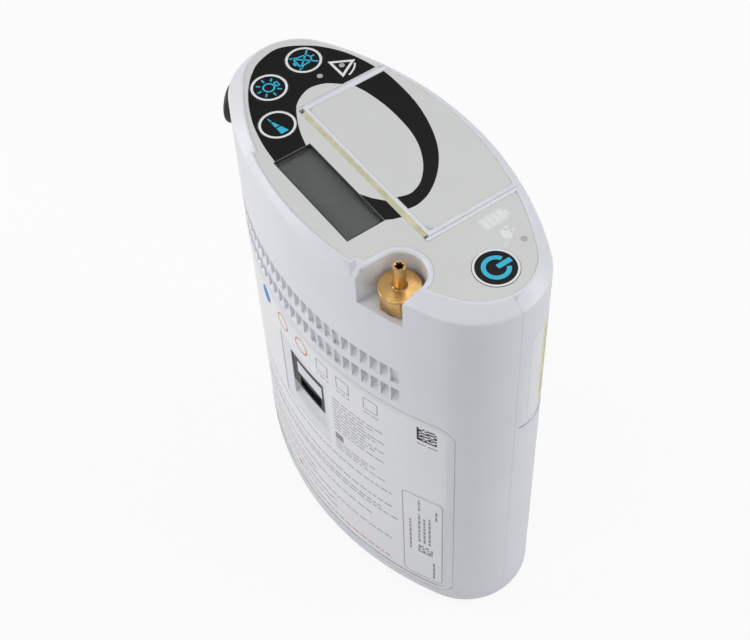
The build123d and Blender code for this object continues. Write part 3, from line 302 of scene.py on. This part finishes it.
def smoothCopy(node, sharp=28):
    # the copy stands in for the CAD node, which stays as it is
    bm = bmesh.new()
    bm.from_mesh(frame["nodes"][node].data)
    bmesh.ops.remove_doubles(bm, verts=bm.verts, dist=2e-6)
    bmesh.ops.dissolve_degenerate(bm, edges=bm.edges, dist=1e-7)
    mesh = bpy.data.meshes.new(node + "_skin")
    bm.to_mesh(mesh)
    bm.free()
    mesh.shade_smooth()
    mesh.set_sharp_from_angle(angle=radians(sharp))
    piece = bpy.data.objects.new(node + "_skin", mesh)
    scene.collection.objects.link(piece)
    mesh.materials.append(finishes[slotOf[node]].material)
    evened = piece.modifiers.new("evened", "WEIGHTED_NORMAL")
    evened.keep_sharp = True
    evened.weight = 90
    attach(piece, bodyOf[node])
    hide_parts(node)
    return piece


# the wall's outline: two long arcs and two round tips
wall = {"tipRadius": 32 * mm, "crease": 234.9 * mm, "slack": 0.04 * mm, "alike": 0.9}
halfLength = boxOf("front_shell")[1].x
halfWidth = -boxOf("front_shell")[0].y
tipRadius = wall["tipRadius"]
tipX = halfLength - tipRadius
sideRadius = (tipX ** 2 + halfWidth ** 2 - tipRadius ** 2) / (2 * (halfWidth - tipRadius))
sideY = sideRadius - halfWidth
blendTurn = atan2(tipX, sideY)


def outward(point, inset):
    # the wall's own direction at a point on it, or None off the wall
    arm = Vector((point.x, point.y - (sideY if point.y < 0 else -sideY)))
    reach = sideRadius - inset
    if atan2(abs(arm.x), abs(arm.y)) > blendTurn:
        arm = Vector((point.x - (tipX if point.x > 0 else -tipX), point.y))
        reach = tipRadius - inset
    if abs(arm.length - reach) > wall["slack"] or point.z > wall["crease"] + wall["slack"]:
        return None
    return arm.normalized().to_3d()


def evenWall(piece, inset=0.0):
    # long thin faces shade unevenly, so the wall gets the exact directions of its arcs
    shaped = piece.evaluated_get(bpy.context.evaluated_depsgraph_get())
    source = shaped.to_mesh()
    directions = [corner.vector.copy() for corner in source.corner_normals]
    shaped.to_mesh_clear()
    piece.modifiers.clear()
    mesh = piece.data
    for face in mesh.polygons:
        for corner in face.loop_indices:
            straight = outward(mesh.vertices[mesh.loops[corner].vertex_index].co, inset)
            if straight is None:
                continue
            if max(straight.dot(face.normal), straight.dot(directions[corner])) > wall["alike"]:
                directions[corner] = straight
    mesh.normals_split_custom_set([tuple(d) for d in directions])


# these have flat faces only, and keep the CAD mesh
flatNodes = {"control_board", "main_board", "board_components", "battery_contacts", "inlet_plate",
             "battery_seal", "display_module", "display_window"}
skins = {}
for node, part in frame["nodes"].items():
    part.data.materials.clear()
    part.data.materials.append(finishes[slotOf[node]].material)
    if node not in flatNodes:
        skins[node] = smoothCopy(node)
for node in ("front_shell", "back_shell", "battery_case", "battery_cap"):
    evenWall(skins[node])
# how far the outer faces of the sheets lie inside the wall's own, in millimetres
sheetInset = {"front_label": 0.2, "side_label": 0.08, "rating_label": -0.05}
for node, inset in sheetInset.items():
    evenWall(skins[node], inset * mm)
print("smooth copies:", len(skins))


def midStretch(points, steps=6):
    # the stretch of a smooth curve between the middle two of four points
    a, b, c, d = (Vector(point) for point in points)
    for j in range(steps):
        t = j / steps
        place = 0.5 * (2 * b + (c - a) * t + (2 * a - 5 * b + 4 * c - d) * t * t
                       + (3 * b - a - 3 * c + d) * t ** 3)
        yield place.x, place.y


def closedCurve(points):
    out = []
    for i in range(len(points)):
        out += midStretch([points[(i + k) % len(points)] for k in (-1, 0, 1, 2)])
    return out


def openCurve(points):
    ends = [points[0], *points, points[-1]]
    out = []
    for i in range(len(points) - 1):
        out += midStretch(ends[i:i + 4])
    return out + [tuple(points[-1])]


smallPrint = {"shortest": 0.8, "scatter": 12.9898}


def runs(start, end, seed, least, spread, gap):
    # strokes of uneven length that stand for a line of small print
    place = start
    while place < end - smallPrint["shortest"]:
        seed += 1
        run = least + spread * abs(sin(seed * smallPrint["scatter"]))
        yield place, min(place + run, end)
        place += run + gap


class Ink:
    # printing: a thin film laid on a face, one object for each ink,
    # with sizes in millimetres on a flat sheet whose axes are x and y
    def __init__(self):
        self.bm = bmesh.new()

    def loop(self, points):
        verts = [self.bm.verts.new((x * mm, y * mm, 0)) for x, y in points]
        return [self.bm.edges.new((verts[i - 1], verts[i])) for i in range(len(verts))]

    def circle(self, x, y, radius):
        made = bmesh.ops.create_circle(self.bm, segments=72, radius=radius * mm,
                                       matrix=Matrix.Translation((x * mm, y * mm, 0)))
        return list({edge for vert in made["verts"] for edge in vert.link_edges})

    def fill(self, *loops):
        edges = [edge for loop in loops for edge in loop]
        bmesh.ops.triangle_fill(self.bm, use_beauty=True, use_dissolve=False, edges=edges,
                                normal=(0, 0, 1))

    def shape(self, points, holes=()):
        self.fill(self.loop(points), *(self.circle(*hole) for hole in holes))

    def disc(self, x, y, radius):
        self.fill(self.circle(x, y, radius))

    def ring(self, x, y, outer, inner):
        self.fill(self.circle(x, y, outer), self.circle(x, y, inner))

    def arc(self, x, y, outer, inner, start, end, steps=40):
        turns = [radians(start + (end - start) * i / steps) for i in range(steps + 1)]
        self.shape([(x + outer * cos(a), y + outer * sin(a)) for a in turns]
                   + [(x + inner * cos(a), y + inner * sin(a)) for a in reversed(turns)])

    def stroke(self, points, width):
        # a line of constant width with mitred corners
        left, right = [], []
        for i, (x, y) in enumerate(points):
            before = Vector(points[max(i - 1, 0)])
            after = Vector(points[min(i + 1, len(points) - 1)])
            here = Vector((x, y))
            arms = [v.normalized() for v in (here - before, after - here) if v.length > 1e-6]
            along = sum(arms, Vector((0, 0))).normalized()
            side = Vector((-along.y, along.x))
            reach = width / 2 / max(0.35, abs(along.dot(arms[0])))
            left.append(tuple(here + side * reach))
            right.append(tuple(here - side * reach))
        self.shape(left + right[::-1])

    def panel(self, x0, x1, y0, y1, corner=0.0):
        if not corner:
            return [(x0, y0), (x1, y0), (x1, y1), (x0, y1)]
        points = []
        for x, y, start in ((x1 - corner, y1 - corner, 0), (x0 + corner, y1 - corner, 90),
                            (x0 + corner, y0 + corner, 180), (x1 - corner, y0 + corner, 270)):
            turns = [radians(start + 15 * k) for k in range(7)]
            points += [(x + corner * cos(turn), y + corner * sin(turn)) for turn in turns]
        return points

    def bar(self, x0, x1, y0, y1, corner=0.0):
        self.shape(self.panel(x0, x1, y0, y1, corner))

    def border(self, x0, x1, y0, y1, corner, width):
        inner = self.panel(x0 + width, x1 - width, y0 + width, y1 - width, max(corner - width, 0.1))
        self.fill(self.loop(self.panel(x0, x1, y0, y1, corner)), self.loop(inner))

    def dashes(self, x0, x1, y, height, seed):
        for start, end in runs(x0, x1, seed, 1.6, 3.4, 0.9):
            self.bar(start, end, y - height / 2, y + height / 2)

    def blocks(self, code):
        # a square code that holds no data
        x, y, cell = code["x"], code["y"], code["cell"]
        a, b, c, d = code["waves"]
        for i in range(code["across"]):
            for j in range(code["up"]):
                wave = sin(i * a + j * b) * cos(i * c - j * d)
                if i == 0 or j == 0 or wave > code["least"]:
                    self.bar(x + i * cell, x + (i + code["fill"]) * cell,
                             y + j * cell, y + (j + code["fill"]) * cell)

    def lay(self, name, finish, body, place, thickness=0.03):
        # thickness and place the sheet: place(x, y, up) gives the point on the object
        made = bmesh.ops.extrude_face_region(self.bm, geom=self.bm.faces[:])
        for vert in (v for v in made["geom"] if isinstance(v, bmesh.types.BMVert)):
            vert.co.z = thickness * mm
        for vert in self.bm.verts:
            vert.co = place(vert.co.x, vert.co.y, vert.co.z)
        bmesh.ops.recalc_face_normals(self.bm, faces=self.bm.faces)
        mesh = bpy.data.meshes.new(name)
        self.bm.to_mesh(mesh)
        self.bm.free()
        mesh.materials.append(finish.material)
        piece = bpy.data.objects.new(name, mesh)
        scene.collection.objects.link(piece)
        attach(piece, body)
        return piece

    def follow(self, step):
        # cut the sheet across, so that it can bend with the wall
        xs = [v.co.x for v in self.bm.verts]
        x = (int(min(xs) / (step * mm)) - 1) * step * mm
        while x < max(xs):
            x += step * mm
            whole = self.bm.verts[:] + self.bm.edges[:] + self.bm.faces[:]
            bmesh.ops.bisect_plane(self.bm, geom=whole, dist=1e-8, plane_co=(x, 0, 0),
                                   plane_no=(1, 0, 0))


# how far the foot of a print stands above its face, in millimetres
printLift = {"flat": -0.01, "overprint": 0.02, "skirt": -0.2, "wall": -0.005}


def flatOn(node, lift=printLift["flat"]):
    # laid on the top of a node
    top = boxOf(node)[1].z
    return lambda x, y, up: Vector((x, y, top + lift * mm + up))


inks = {
    "black": film("blackInk", (0.007, 0.0065, 0.0065), 0.36, 0.000003, 0.2),
    "white": film("whiteInk", (0.84, 0.84, 0.84), 0.4, 0.000003),
    "cyan": film("cyanInk", (0.028, 0.50, 0.70), 0.38, 0.000003),
    "pale": film("paleInk", (0.84, 0.845, 0.835), 0.4, 0.000003),
    "gray": film("grayInk", (0.30, 0.30, 0.31), 0.45, 0.000003),
    "red": film("redInk", (0.62, 0.16, 0.15), 0.45, 0.000003),
    "blue": film("blueInk", (0.06, 0.22, 0.55), 0.45, 0.000003),
    "yellow": film("yellowInk", (0.78, 0.74, 0.46), 0.45, 0.000003),
}

panel = {
    "outer": [(-50.4, 32.8), (-56, 31.4), (-62, 29.4), (-66.3, 27.6), (-70.2, 25.4), (-73.9, 22.9),
              (-78.5, 19), (-83.3, 13), (-86.4, 7.5), (-87.4, 3), (-86.8, -1.4), (-85.5, -5.6),
              (-83.7, -9.5), (-81, -12.9), (-78, -16.1), (-72.5, -20.6), (-66.8, -24.2),
              (-62, -26.7), (-56, -29.3), (-50, -31.3), (-40, -33.6), (-29, -34.9)],
    "inner": [(-29, -19), (-36, -16.9), (-42, -14.4), (-50.3, -9.8), (-54.5, -5.2), (-56.8, 0),
              (-57, 4), (-55, 9.6), (-50.4, 14.8)],
    "tail": [(17.4, -10.35), (28.6, -10.35), (27.4, -14), (25.7, -16.9), (7.8, -16.9), (13, -13.9)],
    "keys": {"alarm_button": 8.72, "light_button": 8.72, "flow_button": 8.72},
    "leds": [(-60.5, 21.5), (-60.8, 9.8)],
    "ledHole": 1.42,
    "triangle": [(-60, 28.4), (-66.2, 17.6), (-53.8, 17.6)],
    "triangleHole": [(-60, 26.0), (-64.1, 18.8), (-55.9, 18.8)],
    "tick": [(-58.2, 27.0), (-56.4, 25.6), (-54.6, 23.2), (-53.4, 20.6)],
    "battery": {"x": (49.0, 55.4), "y": (12.6, 24.4), "knob": (50.7, 53.7, 24.55, 25.9),
                "bars": 4, "pitch": 2.76, "bar": (49.6, 54.8, 13.2, 15.6)},
    "plug": [(58.6, 17.6), (60.1, 19.8), (62.5, 20.4), (64.2, 18.9), (64.2, 16.9), (62.6, 15.9),
             (60.2, 16.1)],
    "prongs": [[(57.9, 20.9), (59.5, 18.9)], [(61.0, 22.6), (62.0, 20.2)]],
    "lead": [(64.0, 16.9), (65.2, 16.0), (65.3, 14.6), (66.6, 13.2)],
}


def middle(node):
    low, high = boxOf(node)
    return (low.x + high.x) / 2 / mm, (low.y + high.y) / 2 / mm


holes = [(*middle(key), radius) for key, radius in panel["keys"].items()]
holes += [(x, y, panel["ledHole"]) for x, y in panel["leds"]]
black = Ink()
black.shape(openCurve(panel["outer"]) + openCurve(panel["inner"]), holes)
black.shape(panel["tail"])
black.lay("panel_black_print", inks["black"], "housing",
          flatOn("control_membrane"))

white = Ink()
white.fill(white.loop(panel["triangle"]), white.loop(panel["triangleHole"]))
white.stroke(openCurve(panel["tick"]), 0.8)
white.lay("panel_white_print", inks["white"], "housing",
          flatOn("control_membrane", printLift["overprint"]))

pale = Ink()
battery = panel["battery"]
pale.border(*battery["x"], *battery["y"], 0.3, 0.35)
pale.bar(*battery["knob"], 0.2)
x0, x1, y0, y1 = battery["bar"]
for k in range(battery["bars"]):
    pale.bar(x0, x1, y0 + battery["pitch"] * k, y1 + battery["pitch"] * k)
pale.shape(closedCurve(panel["plug"]))
for prong in panel["prongs"]:
    pale.stroke(prong, 0.9)
pale.stroke(openCurve(panel["lead"]), 0.6)
pale.lay("panel_pale_print", inks["pale"], "housing", flatOn("control_membrane"))
print("panel printed")

band = {
    "outer": [(-46.1, 34.2), (-40, 34.6), (-30, 34.5), (-20, 33.6), (-10, 31.4), (0, 28.0),
              (8, 23.9), (15, 18.6), (21, 12.2), (25.2, 5.4), (27, -1), (26.6, -5.7)],
    "inner": [(18.6, -5.7), (20.1, -1), (19.8, 2.6), (17.6, 7.2), (13.5, 11.6), (8, 15.6),
              (0, 19.4), (-9, 21.6), (-20, 22.3), (-30, 21.9), (-40, 20.3), (-46.1, 18.4)],
}
cover = Ink()
cover.shape(openCurve(band["outer"]) + openCurve(band["inner"]))
cover.lay("battery_black_print", inks["black"], "battery", flatOn("battery_label"))


def keyFace(node, ring, draw):
    # a white ring and a cyan sign on the black key
    x, y = middle(node)
    rim = Ink()
    rim.ring(x, y, *ring)
    rim.lay(node + "_ring", inks["white"], bodyOf[node], flatOn(node))
    sign = Ink()
    draw(sign, x, y)
    sign.lay(node + "_sign", inks["cyan"], bodyOf[node], flatOn(node))


def drawPower(sign, x, y):
    sign.arc(x, y + 0.1, 6.2, 4.2, 118, 422)
    sign.bar(x - 1.2, x + 1.2, y + 0.6, y + 7.5, 0.2)


def drawBell(sign, x, y):
    # a bell with two crossing strokes
    side = [(3.9, -3.4), (2.9, -1.8), (2.6, 1.0), (1.6, 3.0)]
    bell = [(-a, b) for a, b in side] + [(0, 3.7)] + side[::-1]
    sign.stroke(openCurve([(x + a, y + b) for a, b in bell]), 0.75)
    sign.bar(x - 4.3, x + 4.3, y - 4.0, y - 3.2)
    sign.arc(x, y - 4.2, 1.3, 0.1, 180, 360, 16)
    sign.stroke([(x - 4.6, y + 4.9), (x + 4.6, y - 4.9)], 0.8)
    sign.stroke([(x - 4.6, y - 4.9), (x + 4.6, y + 4.9)], 0.8)
    sign.bar(x - 0.4, x + 0.4, y + 3.9, y + 5.8)


def drawLamp(sign, x, y):
    # a bulb with rays
    sign.ring(x, y - 0.2, 2.9, 2.1)
    sign.border(x - 1.6, x + 1.6, y + 2.9, y + 5.0, 0.3, 0.6)
    for turn in (0, 45, 135, 180, 225, 270, 315):
        c, s = cos(radians(turn)), sin(radians(turn))
        sign.stroke([(x + 3.9 * c, y - 0.2 + 3.9 * s), (x + 5.9 * c, y - 0.2 + 5.9 * s)], 0.8)


def drawFlow(sign, x, y):
    # three bars that grow
    sign.shape([(x - 5.8, y - 1.7), (x - 3.1, y - 1.7), (x - 3.1, y - 0.9), (x - 5.8, y - 1.4)])
    sign.shape([(x - 2.4, y - 1.7), (x + 0.9, y - 1.7), (x + 0.9, y + 0.5), (x - 2.4, y - 0.7)])
    sign.shape([(x + 1.7, y - 1.7), (x + 5.7, y - 1.7), (x + 5.7, y + 2.2), (x + 1.7, y + 0.9)])


rings = {"large": (9.75, 8.75), "small": (8.3, 7.2), "skirt": (10.09, 9.94)}
keyFace("power_button", rings["large"], drawPower)
keyFace("alarm_button", rings["small"], drawBell)
keyFace("light_button", rings["small"], drawLamp)
keyFace("flow_button", rings["small"], drawFlow)
skirt = Ink()
skirt.ring(*middle("power_button"), *rings["skirt"])
skirt.lay("power_skirt", inks["white"], "housing",
          flatOn("control_membrane", printLift["skirt"]), 0.12)
print("keys printed")


def onWall(s, z, out):
    # s along the front wall, z up, and out from it
    arc = sideRadius * blendTurn
    if abs(s) <= arc:
        turn = s / sideRadius
        r = sideRadius + out
        return Vector((r * sin(turn), sideY - r * cos(turn), z))
    turn = blendTurn + (abs(s) - arc) / tipRadius
    x = tipX + (tipRadius + out) * sin(turn)
    return Vector((x if s > 0 else -x, -(tipRadius + out) * cos(turn), z))


def onLabel(sheet):
    foot = (printLift["wall"] - sheetInset[sheet]) * mm
    return lambda s, z, up: onWall(s, z, up + foot)


# lines of print are given as (height, start, end)
label = {
    "lines": [(81.5, -58, 55), (69.5, -60, 55), (63, -60, 48), (60, -60, 58), (50, -60, 43),
              (42, -60, 0), (37.5, -58, 54), (30.5, -56, 15), (25, -54, 16)],
    "redLine": (17.5, -60, 53),
    "redMark": (-22, -18, 23.2, 24.8),
    "column": {"rows": 16, "top": 131, "pitch": 2.75, "start": 20, "end": 52},
    "gap": (96, 104),
    "box": (20, 25.5, 97.4, 102.6),
    "icons": {"s": [14, 28, 45], "half": 4.2, "z": (143.6, 152.2), "note": 140.8},
    "rings": [-19, -2],
    "spot": -38,
    "signHeight": 148,
    "codeNote": (139.8, 70, 82),
    "code": {"x": 70, "y": 142.5, "cell": 1.0, "across": 10, "up": 10, "fill": 0.96,
             "waves": (7.3, 3.1, 1.7, 5.9), "least": -0.02},
    "pieces": 4,
}
text = Ink()
for k, (z, start, end) in enumerate(label["lines"]):
    text.dashes(start, end, z, 0.9, k * 7)
column = label["column"]
for k in range(column["rows"]):
    z = column["top"] - column["pitch"] * k
    ragged = 6 * abs(sin(k * 2.1)) * (k % 3)
    if not label["gap"][0] < z < label["gap"][1]:
        text.dashes(column["start"], column["end"] - ragged, z, 0.7, 40 + k)
text.bar(*label["box"])
icons = label["icons"]
for s in icons["s"]:
    text.border(s - icons["half"], s + icons["half"], *icons["z"], 0.8, 0.45)
    text.dashes(s - icons["half"], s + icons["half"], icons["note"], 0.7, s)
z, start, end = label["codeNote"]
text.dashes(start, end, z, 0.8, 9)
text.follow(label["pieces"])
text.lay("front_gray_print", inks["gray"], "housing", onLabel("front_label"))

marks = Ink()
z, start, end = label["redLine"]
marks.dashes(start, end, z, 0.9, 80)
for s in label["rings"]:
    marks.ring(s, label["signHeight"], 5.0, 4.2)
marks.bar(*label["redMark"])
marks.follow(label["pieces"])
marks.lay("front_red_print", inks["red"], "housing", onLabel("front_label"))

spot = Ink()
spot.disc(label["spot"], label["signHeight"], 4.8)
spot.follow(label["pieces"])
spot.lay("front_blue_print", inks["blue"], "housing", onLabel("front_label"))

code = Ink()
code.blocks(label["code"])
code.follow(label["pieces"])
code.lay("front_block_print", inks["black"], "housing", onLabel("front_label"))

# the lines of the rating plate run upwards, and are given as (place, start, end)
rating = {
    "border": (61.3, 83.2, 15.0, 93.2, 3.2, 0.45),
    "lines": [(65.6, 40, 70), (70.6, 50, 77), (73.4, 50, 74), (76.2, 50, 77),
              (70.6, 80, 90), (79.8, 77, 86), (78.6, 18, 34)],
    "half": 0.55,
    "code": {"x": 70, "y": 40, "cell": 1.0, "across": 8, "up": 7, "fill": 0.95,
             "waves": (5.3, 2.3, 2.9, 4.7), "least": 0},
    "pieces": 4,
}
plate = Ink()
plate.border(*rating["border"])
for k, (s, start, end) in enumerate(rating["lines"]):
    for z0, z1 in runs(start, end, k * 5, 1.4, 2.4, 0.8):
        plate.bar(s - rating["half"], s + rating["half"], z0, z1)
plate.blocks(rating["code"])
plate.follow(rating["pieces"])
plate.lay("rating_print", inks["gray"], "housing", onLabel("rating_label"))
print("front printed")


def onTip(lift):
    # s along the wall from the right tip towards the back, and z up
    foot = tipRadius + (lift - sheetInset["side_label"]) * mm
    return lambda s, z, up: Vector((tipX + (foot + up) * cos(s / tipRadius),
                                    (foot + up) * sin(s / tipRadius), z))


side = {
    "field": (16.5, 33.4, 153.8, 212.4, 2.4),
    "lines": {"rows": 5, "top": 205, "pitch": 5.5, "start": 18.5, "ends": (31, 27)},
    "box": (19, 31.5, 160, 174, 1, 0.5),
    "pieces": 2,
}
stripe = Ink()
stripe.bar(*side["field"])
stripe.follow(side["pieces"])
stripe.lay("side_yellow_print", inks["yellow"], "housing", onTip(printLift["wall"]))
small = Ink()
lines = side["lines"]
for k in range(lines["rows"]):
    z = lines["top"] - lines["pitch"] * k
    small.dashes(lines["start"], lines["ends"][k % 2], z, 0.8, 60 + k)
small.border(*side["box"])
small.follow(side["pieces"])
small.lay("side_gray_print", inks["gray"], "housing", onTip(printLift["overprint"]))
print("side printed")

# filter screen behind the vents
screen = {"s": (-74, 64), "z": (160, 192), "inset": 5.9, "thickness": 0.8}
sheet = Ink()
bmesh.ops.create_grid(sheet.bm, x_segments=40, y_segments=4, size=0.5)
for vert in sheet.bm.verts:
    vert.co.x = (screen["s"][0] + (vert.co.x + 0.5) * (screen["s"][1] - screen["s"][0])) * mm
    vert.co.y = (screen["z"][0] + (vert.co.y + 0.5) * (screen["z"][1] - screen["z"][0])) * mm
sheet.lay("vent_screen", finishes["filter_media"], "housing",
          lambda s, z, up: onWall(s, z, up - screen["inset"] * mm), screen["thickness"])

# strip in the parting line at both tips, a little below the surface;
# each step is a share of the way to the top's edge, and a drop below the top
strip = {
    "sunk": 0.1, "depth": 1.4, "half": 0.055, "bottom": 6.0,
    "steps": [(0, 5.1), (0.07, 3.95), (0.16, 3.4), (0.8, 0.75), (1, 0), (1.1, 0)],
    "ends": {"parting_strip_right": (95.0, 88.1), "parting_strip_left": (-95.0, -91.6)},
}
tall = boxOf("front_shell")[1].z / mm


def sunkEdge(wallEnd, topEnd, depth):
    across = depth if wallEnd > 0 else -depth
    edge = [(wallEnd - across, strip["bottom"])]
    for share, drop in strip["steps"]:
        # the first step ends the upright wall, so it isn't lowered
        edge.append((wallEnd + (topEnd - wallEnd) * share - across,
                     tall - drop - (depth if share else 0)))
    return edge


for name, (wallEnd, topEnd) in strip["ends"].items():
    cord = Ink()
    cord.shape(sunkEdge(wallEnd, topEnd, strip["sunk"])
               + sunkEdge(wallEnd, topEnd, strip["depth"])[::-1])
    cord.lay(name, finishes["housing"], "housing",
             lambda x, z, up: Vector((x, up - strip["half"] * mm, z)), 2 * strip["half"])

# dark lining of the display's recess; its dark colour is partly a dark recess wall and partly
# painted shade in the recess
recess = {"outer": 0.28, "inner": -0.25, "height": 1.28}
low, high = boxOf("display_window")
liningAndShade = Ink()
liningAndShade.fill(*(liningAndShade.loop(liningAndShade.panel(low.x / mm - grow, high.x / mm + grow,
                                       low.y / mm - grow, high.y / mm + grow))
              for grow in (recess["outer"], recess["inner"])))
liningAndShade.lay("display_lining_and_shade", finishes["dark_plastic"], "housing",
           lambda x, y, up: Vector((x, y, high.z + up)), recess["height"])
print("screen and lining made")


def showPale(tree, lit, pale, outputKind, share=1.0):
    # the camera's own rays see that share of the pale shader, and all others the lit one
    rays = tree.nodes.new("ShaderNodeLightPath")
    seen = tree.nodes.new("ShaderNodeMath")
    seen.operation = "MULTIPLY"
    seen.inputs[1].default_value = share
    blend = tree.nodes.new("ShaderNodeMixShader")
    output = tree.nodes.new(outputKind)
    tree.links.new(rays.outputs["Is Camera Ray"], seen.inputs[0])
    tree.links.new(seen.outputs[0], blend.inputs[0])
    tree.links.new(lit.outputs[0], blend.inputs[1])
    tree.links.new(pale.outputs[0], blend.inputs[2])
    tree.links.new(blend.outputs[0], output.inputs[0])


ground = {"size": 8.0, "colour": (0.86, 0.86, 0.87, 1), "glow": (1, 1, 1, 1), "share": 0.88}
bm = bmesh.new()
bmesh.ops.create_grid(bm, x_segments=1, y_segments=1, size=ground["size"] / 2)
mesh = bpy.data.meshes.new("floor")
bm.to_mesh(mesh)
bm.free()
floor = bpy.data.objects.new("floor", mesh)
scene.collection.objects.link(floor)

paper = bpy.data.materials.new("paper")
paper.use_nodes = True
tree = paper.node_tree
tree.nodes.clear()
diffuse = tree.nodes.new("ShaderNodeBsdfDiffuse")
diffuse.inputs[0].default_value = ground["colour"]
glow = tree.nodes.new("ShaderNodeEmission")
glow.inputs[0].default_value = ground["glow"]
showPale(tree, diffuse, glow, "ShaderNodeOutputMaterial", ground["share"])
mesh.materials.append(paper)

air = {"colour": (0.94, 0.97, 1.0, 1), "level": 0.36, "backdrop": (0.8, 0.8, 0.8, 1)}
world = bpy.data.worlds.new("studio")
scene.world = world
world.use_nodes = True
tree = world.node_tree
tree.nodes.clear()
room = tree.nodes.new("ShaderNodeBackground")
room.inputs[0].default_value = air["colour"]
room.inputs[1].default_value = air["level"]
backdrop = tree.nodes.new("ShaderNodeBackground")
backdrop.inputs[0].default_value = air["backdrop"]
showPale(tree, room, backdrop, "ShaderNodeOutputWorld")

# the lamps stand round a point inside the object
centre = Vector((0, 0, 0.14))
lamps = {
    "leftBox": {"from": (-0.72, -0.62, 0.35), "distance": 1.3, "size": 0.9, "level": 0.45,
                "tint": (1, 0.99, 0.97)},
    "rightBox": {"from": (0.62, 0.72, 0.5), "distance": 1.2, "size": 0.7, "level": 0.36,
                 "tint": (0.97, 0.98, 1)},
    "frontBox": {"from": (0.15, -0.75, 0.7), "distance": 1.3, "size": 0.6, "level": 0.14,
                 "tint": (1, 0.98, 0.96)},
    "topBox": {"from": (-0.1, 0.3, 1.0), "distance": 1.2, "size": 0.8, "level": 0.18,
               "tint": (1, 1, 1)},
}
for name, lamp in lamps.items():
    light = bpy.data.lights.new(name, "AREA")
    light.shape = "SQUARE"
    light.size = lamp["size"]
    light.color = lamp["tint"]
    light.energy = pi ** 2 * lamp["distance"] ** 2 * lamp["level"]
    holder = bpy.data.objects.new(name, light)
    scene.collection.objects.link(holder)
    away = Vector(lamp["from"]).normalized()
    holder.location = centre + away * lamp["distance"]
    holder.rotation_mode = "QUATERNION"
    holder.rotation_quaternion = (-away).to_track_quat("-Z", "Y")

# place in millimetres, turns in degrees about x, y and z
eye = {"place": (355.54, -239.08, 692.65), "turns": (37.387, 1.894, 54.457), "lens": 70.59}
camera = bpy.data.cameras.new("camera")
camera.lens = eye["lens"]
camera.sensor_width = 36
camera.clip_start = 0.01
camera.clip_end = 50
holder = bpy.data.objects.new("camera", camera)
scene.collection.objects.link(holder)
holder.location = Vector(eye["place"]) * mm
holder.rotation_euler = [radians(turn) for turn in eye["turns"]]
scene.camera = holder
scene.view_settings.view_transform = "Standard"
print("studio ready")
